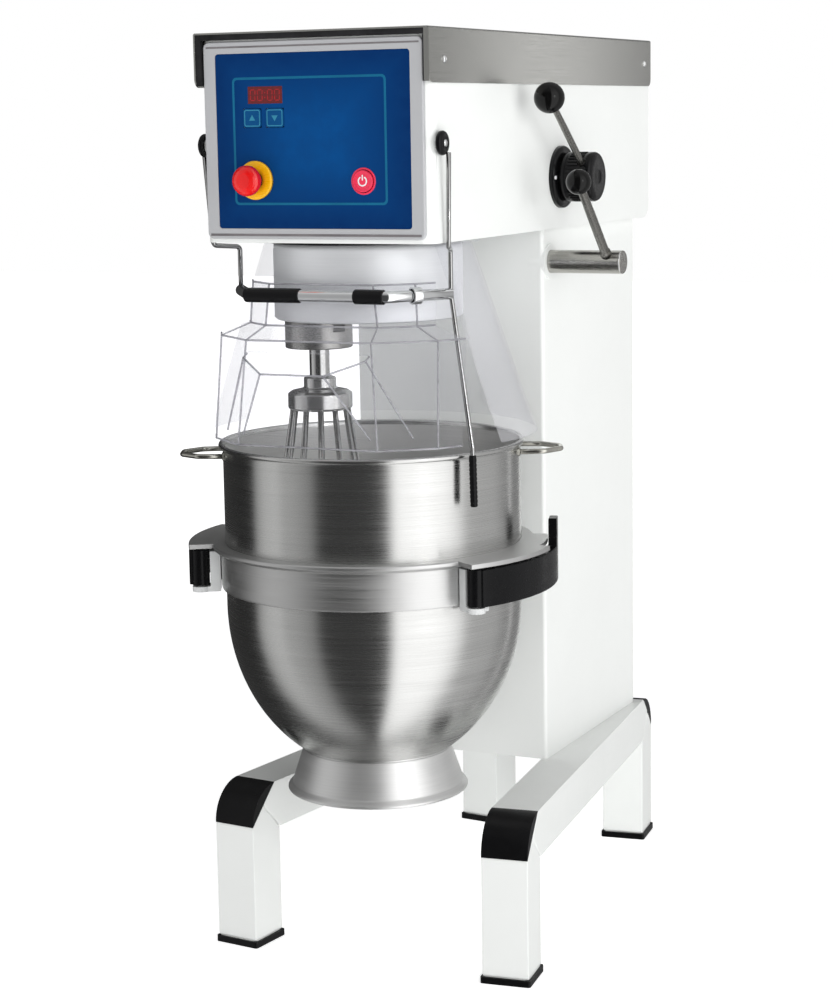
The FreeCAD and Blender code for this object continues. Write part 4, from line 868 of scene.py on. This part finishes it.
def guard():
    """Bent wires and the chromed bar, with its clamp and two black sleeves that paint the chrome's dark
    reflected bands.
    """
    bar_z = 1030.0
    pivot = centre_mm("guard_knobs")
    work = bmesh.new()
    upper = [(194, pivot.y + 7, pivot.z - 13), (188, -127, 1098), (170, -81, 1094), (170, -81, bar_z)]
    lower = [(214, -112, 815), (216, -113, 733.2)]
    for side, places in ((1, upper + lower), (-1, upper)):
        points = [mm(side * x, y, z) for x, y, z in places]
        add_tube(work, tube_path(points, 0.007, 8), 3.5, 20)
    bent = drawn(work, "guard_side_wires")
    wires = finish_mesh("guard_side_wires", bent, GUARD_WIRE, "guard")
    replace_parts(wires, "guard_frame")
    ends = [mm(-170, -81, bar_z), mm(-110, -165, bar_z), mm(110, -165, bar_z), mm(170, -81, bar_z)]
    bar = tube("guard_cross_bar", tube_path(ends, 0.022, 12), 8.5, CHROME, "guard", 32)
    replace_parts(bar, "guard_frame")
    corner = mm(110, -165, bar_z)
    outward = (mm(170, -81, bar_z) - corner).normalized()
    clamp = [(8.7, -7), (11.6, -7), (12.4, -6), (12.4, 6), (11.6, 7), (8.7, 7)]
    lathe("bar_clamp", clamp, CHROME, "guard", "guard_chrome", corner + outward * 0.046, outward, 48)
    # Two black sleeves on the bar: painted reflection, set where the chrome shows dark reflected bands.
    for start, length in ((-115.0, 88.0), (60.0, 46.0)):
        dark_band = [(8.6, 0), (9.6, 0), (10.6, 1.2), (10.6, length - 1.2), (9.6, length), (8.6, length)]
        lathe("bar_painted_reflection_band", dark_band, HUB_BLACK, "guard", "guard_black", mm(start, -165, bar_z), (1, 0, 0), 48)


def screen_edge_shade_lines():
    """Grey tubes along the folded screen's bends and cut edges: painted shade for the grey that refraction
    gives clear sheet there.
    """
    normals = [Vector((math.cos(turn), math.sin(turn))) for turn in (math.radians(-30), math.radians(-51))]

    def meet(first, reach, second, other):
        cross = first.x * second.y - first.y * second.x
        return ((reach * second.y - other * first.y) / cross, (first.x * other - second.x * reach) / cross)

    rims, folds = [], {1: [[], []], -1: [[], []]}
    levels = ((818.3, 232.5, 232.1, 208.0, -117.0), (968.0, 220.4, 216.8, 198.0, -95.0),
              (986.0, 177.0, 178.0, 156.0, -92.3), (1045.6, 172.0, 173.0, 155.0, -86.0))
    for z, side, corner, front, edge in levels:
        points = [((side - 30 + 0.5 * (edge + 60)) / math.cos(math.radians(30)), edge),
                  meet(normals[0], side, normals[1], corner),
                  meet(normals[1], corner, Vector((0, -1)), front)]
        rims.append([(x, y, z) for x, y in points] + [(-x, y, z) for x, y in reversed(points)])
        for way in (1, -1):
            for fold, (x, y) in zip(folds[way], points[1:]):
                fold.append((way * x, y, z))
    mouth = [(98, -200, 949.5), (98, -211.3, 944.2), (50, -250, 926)]
    paths = rims + folds[1] + folds[-1] + [mouth + [(-x, y, z) for x, y, z in reversed(mouth)]]
    for way in (1, -1):
        paths.append([(way * 98, -211.3, 944.2), (way * 150, -171.0, 834.0)])
        paths.append([(way * 50, -250, 926), (way * 102, -210, 834)])
    work = bmesh.new()
    for path in paths:
        inward = [mm(x * 0.992, y * 0.992, z) for x, y, z in path]
        add_tube(work, inward, 1.5, 10)
    finish_mesh("screen_edge_shade_lines", drawn(work, "screen_edge_shade_lines", False), CLEAR_EDGE_SHADE, "guard")


def guard_knobs():
    """Dished black knobs on the head's sides, each with a bright centre screw."""
    pivot = centre_mm("guard_knobs")
    wall = box_mm("head_shell")[1].x + 2.5
    dish = [(0, 0), (15, 0), (16.6, 1.4), (17, 3), (17, 5), (16, 7), (14, 8.4), (10.5, 8.9), (8.2, 8.2),
            (7.2, 7.0), (0, 6.6)]
    screw = [(0, 6.6), (5.2, 6.6), (5.4, 8.6), (4.6, 10.0), (2.4, 10.9), (0, 11.2)]
    washer = [(6.6, -0.2), (11.5, -0.2), (11.5, -2.3), (6.6, -2.3)]
    for side, label in ((1, "right"), (-1, "left")):
        place = ("guard", "guard_black", mm(side * wall, pivot.y, pivot.z), (side, 0, 0))
        knob = lathe(f"guard_knob_{label}", dish, HUB_BLACK, *place, 64)
        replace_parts(knob, "guard_knobs")
        lathe(f"guard_knob_screw_{label}", screw, SCREW_STEEL, *place, 48)
        lathe(f"guard_knob_washer_{label}", washer, SCREW_STEEL, *place, 48)


def guard_bumpers():
    """Soft sleeve on the right wire's lower end, ribbed where a hand pulls it."""
    top = Vector((214, -112, 815))
    end = Vector((216, -113, 733))
    heading = (end - top).normalized()
    outline = [(3.4, 10.0), (4.9, 10.4)]
    height = 16.0
    while height < 80.0:
        outline += [(5.5, height), (5.5, height + 3.4), (5.0, height + 4.2), (5.0, height + 5.4)]
        height += 6.4
    outline += [(5.5, 81.5), (4.4, 83.6), (0, 84.0), (0, 80), (3.4, 80)]
    sleeve = lathe("guard_sleeve", outline, CAP_BLACK, "guard", "guard_black", mm(*top), heading, 40)
    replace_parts(sleeve, "guard_bumpers")


guard()
screen_edge_shade_lines()
guard_knobs()
guard_bumpers()


# ---------------------------------------------------------------- control panel

PANEL_Y = box_mm("panel_membrane")[0].y


def on_panel(x, z, lift=0.0):
    """A place on the panel's film, with x to the right, y up and z towards the front."""
    turn = Matrix(((1, 0, 0, 0), (0, 0, -1, 0), (0, 1, 0, 0), (0, 0, 0, 1)))
    return Matrix.Translation(mm(x, PANEL_Y - lift, z)) @ turn


def panel_print():
    outer = rectangle(-126, 116, 1158, 1337, 7.0)
    inner = rectangle(-122.6, 112.6, 1161.4, 1333.6, 4.5)
    shape = [(x, y - 1247.5) for x, y in outer]
    hole = [(x, y - 1247.5) for x, y in inner]
    slab("panel_frame_line", shape, 0.14, PRINT_TEAL, "frame", on_panel(0, 1247.5), 0, [hole])


def key_print(node, upward):
    """A thin outline and an arrow on the key's face."""
    low, high = box_mm(node)
    centre = (low + high) / 2
    face = on_panel(centre.x, centre.z, PANEL_Y - low.y)
    ring = rectangle(-12.6, 12.6, -11.6, 11.6, 3.0)
    hole = rectangle(-11.3, 11.3, -10.3, 10.3, 2.0)
    slab(f"{node}_outline", ring, 0.14, PRINT_PALE, node, face, 0, [hole])
    tip = 1 if upward else -1
    arrow = [(-5.0, -tip * 3.4), (5.0, -tip * 3.4), (0, tip * 4.6)]
    slab(f"{node}_arrow", arrow, 0.18, PRINT_PALE, node, face)


def segment(x, y, length, upright):
    half, thick = length / 2, 0.75
    points = [(-half, 0), (-half + thick, thick), (half - thick, thick), (half, 0), (half - thick, -thick),
              (-half + thick, -thick)]
    return [(x + (v if upright else u), y + (u if upright else v)) for u, v in points]


def display_digits():
    """Four seven-segment figures and a colon, all at nought."""
    low, high = box_mm("display_window")
    centre = (low + high) / 2
    face = on_panel(centre.x, centre.z, PANEL_Y - low.y)
    bars = []
    for x in (-19.5, -8.0, 8.0, 19.5):
        bars += [segment(x, y, 6.2, False) for y in (-7.4, 7.4)]
        bars += [segment(x + dx, y, 6.6, True) for dx in (-3.7, 3.7) for y in (-3.7, 3.7)]
    dots = [circle(0.9, 12, 0, y) for y in (-3.2, 3.2)]
    made = [slab(f"digit_bar_{index}", bar, 0.12, SEGMENTS, "frame", face)
            for index, bar in enumerate(bars + dots)]
    joined("display_digits", made)


def start_button():
    """Domed push button with a raised rim and a power mark."""
    low, high = box_mm("start_button")
    centre = (low + high) / 2
    radius = (high.x - low.x) / 2
    face = high.y - low.y
    outline = [(0, 0), (radius, 0), (radius, face - 1.6), (radius - 0.6, face - 0.4), (radius - 1.6, face),
               (radius - 2.8, face - 0.3), (radius - 3.6, face - 1.0), (radius - 6, face - 0.85),
               (0, face - 0.7)]
    made = lathe("start_push_button", outline, START_PINK, "start_button", "start_pink",
                 mm(centre.x, high.y, centre.z), (0, -1, 0), 96)
    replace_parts(made, "start_button")
    spot = on_panel(centre.x, centre.z, PANEL_Y - low.y - 0.9)
    ring = circle(7.2, 40, 0, 0, 118, 422, False) + list(reversed(circle(5.3, 40, 0, 0, 118, 422, False)))
    slab("power_mark_ring", ring, 0.35, PRINT_WHITE, "start_button", spot)
    slab("power_mark_bar", rectangle(-0.95, 0.95, 1.0, 9.0, 0.7), 0.35, PRINT_WHITE, "start_button",
         spot)
    seat = [(radius + 0.6, -0.4), (radius + 3.4, -0.4), (radius + 3.4, 0.5), (radius + 2.8, 1.1),
            (radius + 1.2, 1.1), (radius + 0.6, 0.5)]
    lathe("start_button_bezel", seat, START_PINK, "frame", "start_pink", mm(centre.x, PANEL_Y, centre.z),
          (0, -1, 0), 96)


def stop_button():
    """Red mushroom with a stepped neck on a yellow collar."""
    low, high = box_mm("estop_mushroom")
    centre = (low + high) / 2
    radius = (high.x - low.x) / 2
    length = high.y - low.y
    outline = [(0, 0.1), (14.5, 0.1), (15.5, 1.4), (radius - 1.5, 5), (radius, 7), (radius, 12.5),
               (radius - 0.7, 15), (radius - 2.6, 17.8), (radius - 6, 20.2), (radius - 11, 21.8), (0, length)]
    radii = [0, 0.8, 1, 2, 1.5, 2, 2, 3, 4, 6, 0]
    head = lathe("stop_mushroom", softened(outline, radii), STOP_RED, "estop_mushroom", "stop_red",
                 mm(centre.x, high.y, centre.z), (0, -1, 0), 128)
    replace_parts(head, "estop_mushroom")
    collar_low, collar_high = box_mm("estop_collar")
    reach = (collar_high.x - collar_low.x) / 2
    thick = collar_high.y - collar_low.y
    ring = [(12.4, 0), (reach, 0), (reach, thick - 2.2), (reach - 0.8, thick - 0.7), (reach - 2.4, thick),
            (18.5, thick), (17, thick - 1.4), (12.4, thick - 1.4)]
    collar = lathe("stop_collar_ring", ring, STOP_YELLOW, "frame", "stop_yellow",
                   mm(centre.x, collar_high.y, centre.z), (0, -1, 0), 128)
    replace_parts(collar, "estop_collar")
    neck = [(10.4, 0), (12.1, 0), (12.1, 9.0), (10.4, 9.0)]
    lathe("stop_neck", neck, STOP_RED, "estop_stem", "stop_stem", mm(centre.x, collar_low.y - 0.6, centre.z),
          (0, -1, 0), 64)


def bezel_trim():
    """Shadow lines over and under the film, and the hood's folded lip beside the bezel."""
    low, high = box_mm("panel_bezel")
    for z, tall in ((1378.0, 2.6), (1114.0, 3.6)):
        line = rectangle(low.x + 5, high.x - 5, -tall / 2, tall / 2)
        place = on_panel(0, z + tall / 2, PANEL_Y - low.y)
        slab("bezel_line", line, 0.2, GROOVE, "frame", place)
    hood = box_mm("top_cover")[1].x
    seal = box_mm("cover_seal")[0].y
    lip = rectangle(hood - 8.5, hood - 0.2, 1326, 1398, 1.0)
    shape = [(x, y - 1362) for x, y in lip]
    slab("hood_lip", shape, 1.2, HOOD_STEEL, "frame",
         on_panel(0, 1362, PANEL_Y - seal - 0.4), 0.3)


bezel_trim()
panel_print()
key_print("key_up", True)
key_print("key_down", False)
display_digits()
start_button()
stop_button()


# ---------------------------------------------------------------- screws

def button_screw(name, radius, centre, outward):
    """Low domed head with a six-sided socket."""
    work = bmesh.new()
    place = Matrix.Translation(centre) @ aim(outward)
    segments = 48
    socket = radius * 0.46

    def socket_reach(angle):
        wedge = math.pi / 3
        return socket * math.cos(wedge / 2) / math.cos((angle % wedge) - wedge / 2)

    profile = [(radius, 0.0, False), (radius * 0.985, 0.10, False), (radius * 0.92, 0.26, False),
               (radius * 0.78, 0.42, False), (radius * 0.60, 0.50, False), (1.0, 0.52, True),
               (0.97, 0.50, True), (0.97, 0.10, True)]
    rings = []
    for reach, height, in_socket in profile:
        ring = []
        for index in range(segments):
            angle = 2 * math.pi * index / segments
            distance = reach * socket_reach(angle) if in_socket else reach
            spot = Vector((distance * math.cos(angle), distance * math.sin(angle), height * radius)) / 1000
            ring.append(work.verts.new(place @ spot))
        rings.append(ring)
    for low, high in zip(rings, rings[1:]):
        for index in range(segments):
            after = (index + 1) % segments
            work.faces.new((low[index], low[after], high[after], high[index]))
    work.faces.new(rings[-1])
    work.faces.new(list(reversed(rings[0])))
    return weighted(finish_mesh(name, drawn(work, name, False), SCREW_STEEL, "frame"))


def cover_screws():
    made = []
    hood = box_mm("top_cover")[1].x
    rear = box_mm("rear_cover")[1].y
    for side in (-1, 1):
        for y, z in ((-124.0, 1356.0), (689.0, 1361.0)):
            made.append(button_screw(f"hood_screw_{len(made)}", 5.6, mm(side * hood, y, z), (side, 0, 0)))
    for side in (-1, 1):
        for z in (300.0, 560.0, 820.0, 1070.0):
            made.append(button_screw(f"rear_screw_{len(made)}", 5.2, mm(side * 150.5, rear, z), (0, 1, 0)))
    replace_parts(joined("cover_button_screws", made), "cover_screws")


cover_screws()


# ---------------------------------------------------------------- stage

def floor():
    mesh = bpy.data.meshes.new("studio_floor")
    size = 14.0
    corners = [(-size, -size, 0), (size, -size, 0), (size, size, 0), (-size, size, 0)]
    mesh.from_pydata(corners, [], [(0, 1, 2, 3)])
    made = bpy.data.objects.new("studio_floor", mesh)
    bpy.context.scene.collection.objects.link(made)
    paper = Shader("studio_paper", (0.90, 0.90, 0.90), 0.8)
    paper.vary_colour(paper.spread(paper.noise(paper.place(), 2.0), 0, 1), 0.985)
    far = paper.add("ShaderNodeVectorMath", operation="LENGTH")
    paper.feed(paper.place(), far.inputs[0])
    glow = paper.spread(far.outputs["Value"], 0.60, 1.0, 1.6, 4.5)
    paper.feed(glow, paper.surface.inputs["Emission Strength"])
    paper.set(Emission_Color=(1, 1, 1, 1))
    made.data.materials.append(paper.material)
    made.visible_glossy = False


# What polished parts see, by compass direction in degrees from +x: soft boxes and dark flags
STUDIO_BANDS = [(-180, 0.03), (-168, 0.03), (-165, 0.42), (-156, 0.66), (-142, 0.72), (-136, 0.50),
                (-129, 0.50), (-112, 0.32), (-106, 0.05), (-54, 0.07), (-47, 1.6), (-8, 1.6),
                (3, 1.3), (14, 0.60), (44, 0.55), (60, 0.34), (66.4, 0.22), (68.1, 2.0), (69.8, 0.28),
                (74, 0.26), (100, 0.30), (116, 0.05), (180, 0.03)]
BAND_PEAK = 2.0


def studio_world():
    """White backdrop for the eye, even light for paint, and bands for polished metal."""
    world = bpy.data.worlds.new("studio")
    bpy.context.scene.world = world
    world.use_nodes = True
    tree = world.node_tree
    tree.nodes.clear()
    link = tree.links.new

    def math_node(operation, first, second=0.0):
        made = tree.nodes.new("ShaderNodeMath")
        made.operation = operation
        for socket, value in zip(made.inputs, (first, second)):
            if isinstance(value, bpy.types.NodeSocket):
                link(value, socket)
            else:
                socket.default_value = value
        return made

    def mix_node(factor, first, second):
        made = tree.nodes.new("ShaderNodeMix")
        for name, value in (("Factor", factor), ("A", first), ("B", second)):
            if isinstance(value, bpy.types.NodeSocket):
                link(value, made.inputs[name])
            else:
                made.inputs[name].default_value = value
        return made

    split = tree.nodes.new("ShaderNodeSeparateXYZ")
    link(tree.nodes.new("ShaderNodeTexCoord").outputs["Generated"], split.inputs[0])
    angle = math_node("ARCTAN2", split.outputs[1], split.outputs[0]).outputs[0]
    turn = math_node("DIVIDE", angle, 2 * math.pi).outputs[0]
    curve = tree.nodes.new("ShaderNodeFloatCurve")
    link(math_node("ADD", turn, 0.5).outputs[0], curve.inputs["Value"])
    line = curve.mapping.curves[0]
    curve.mapping.use_clip = False
    for index, (degrees, level) in enumerate(STUDIO_BANDS):
        spot = (degrees / 360 + 0.5, level / BAND_PEAK)
        if index in (0, len(STUDIO_BANDS) - 1):
            line.points[0 if index == 0 else -1].location = spot
        else:
            line.points.new(*spot)
    for point in line.points:
        point.handle_type = "VECTOR"
    curve.mapping.update()
    high = tree.nodes.new("ShaderNodeMapRange")
    link(split.outputs[2], high.inputs["Value"])
    for name, number in (("From Min", 0.55), ("From Max", 0.95), ("To Min", 0.0), ("To Max", 0.8)):
        high.inputs[name].default_value = number
    overhead = mix_node(high.outputs[0], curve.outputs[0], 0.30)
    reflected = math_node("MULTIPLY", overhead.outputs["Result"], BAND_PEAK)
    reflected.name = "reflected"
    ambient = tree.nodes.new("ShaderNodeValue")
    ambient.name = "ambient"
    ambient.outputs[0].default_value = 0.36
    seen = tree.nodes.new("ShaderNodeLightPath")
    level = mix_node(seen.outputs["Is Glossy Ray"], ambient.outputs[0], reflected.outputs[0])
    direct = math_node("MAXIMUM", seen.outputs["Is Camera Ray"], seen.outputs["Is Transmission Ray"])
    shown = mix_node(direct.outputs[0], level.outputs["Result"], 1.0)
    shown.name = "shown"
    glow = tree.nodes.new("ShaderNodeBackground")
    glow.inputs["Color"].default_value = (1, 1, 1, 1)
    link(shown.outputs["Result"], glow.inputs["Strength"])
    output = tree.nodes.new("ShaderNodeOutputWorld")
    link(glow.outputs[0], output.inputs[0])


def soft_box(name, place, target, width, height, watts):
    lamp = bpy.data.lights.new(name, "AREA")
    lamp.shape = "RECTANGLE"
    lamp.size = width
    lamp.size_y = height
    lamp.energy = watts
    made = bpy.data.objects.new(name, lamp)
    bpy.context.scene.collection.objects.link(made)
    made.location = place
    made.rotation_mode = "QUATERNION"
    made.rotation_quaternion = (Vector(target) - Vector(place)).to_track_quat("-Z", "Y")
    made.visible_glossy = False
    return made


def studio_lamps():
    middle = (0, 0, 0.8)
    soft_box("key_right", (3.6, -0.4, 1.6), middle, 2.4, 2.4, 42)
    soft_box("key_front", (2.4, -3.6, 1.6), middle, 2.2, 2.2, 54)
    soft_box("fill_left", (-3.2, -2.4, 1.4), middle, 2.4, 2.2, 10)
    soft_box("top", (0.2, -0.4, 4.2), middle, 3.4, 3.4, 15)
    sparkle = soft_box("sparkle", (4.0, -2.1, 1.95), middle, 0.5, 0.5, 10)
    sparkle.visible_glossy = True


def camera():
    """Where the eye stands: right of the front, level with the panel, looking a little down."""
    lens = bpy.data.cameras.new("camera")
    lens.sensor_width = 36.0
    lens.lens = 84.32
    lens.clip_end = 60.0
    made = bpy.data.objects.new("camera", lens)
    bpy.context.scene.collection.objects.link(made)
    yaw, pitch, roll = (math.radians(value) for value in (25.28, -9.20, -0.95))
    turn = (Matrix.Rotation(yaw, 4, "Z") @ Matrix.Rotation(math.pi / 2 + pitch, 4, "X")
            @ Matrix.Rotation(roll, 4, "Z"))
    made.matrix_world = Matrix.Translation(mm(1540.3, -3107.9, 1272.9)) @ turn
    bpy.context.scene.camera = made


floor()
studio_world()
studio_lamps()
camera()
bpy.context.scene.view_settings.view_transform = "Standard"

bpy.context.view_layer.update()
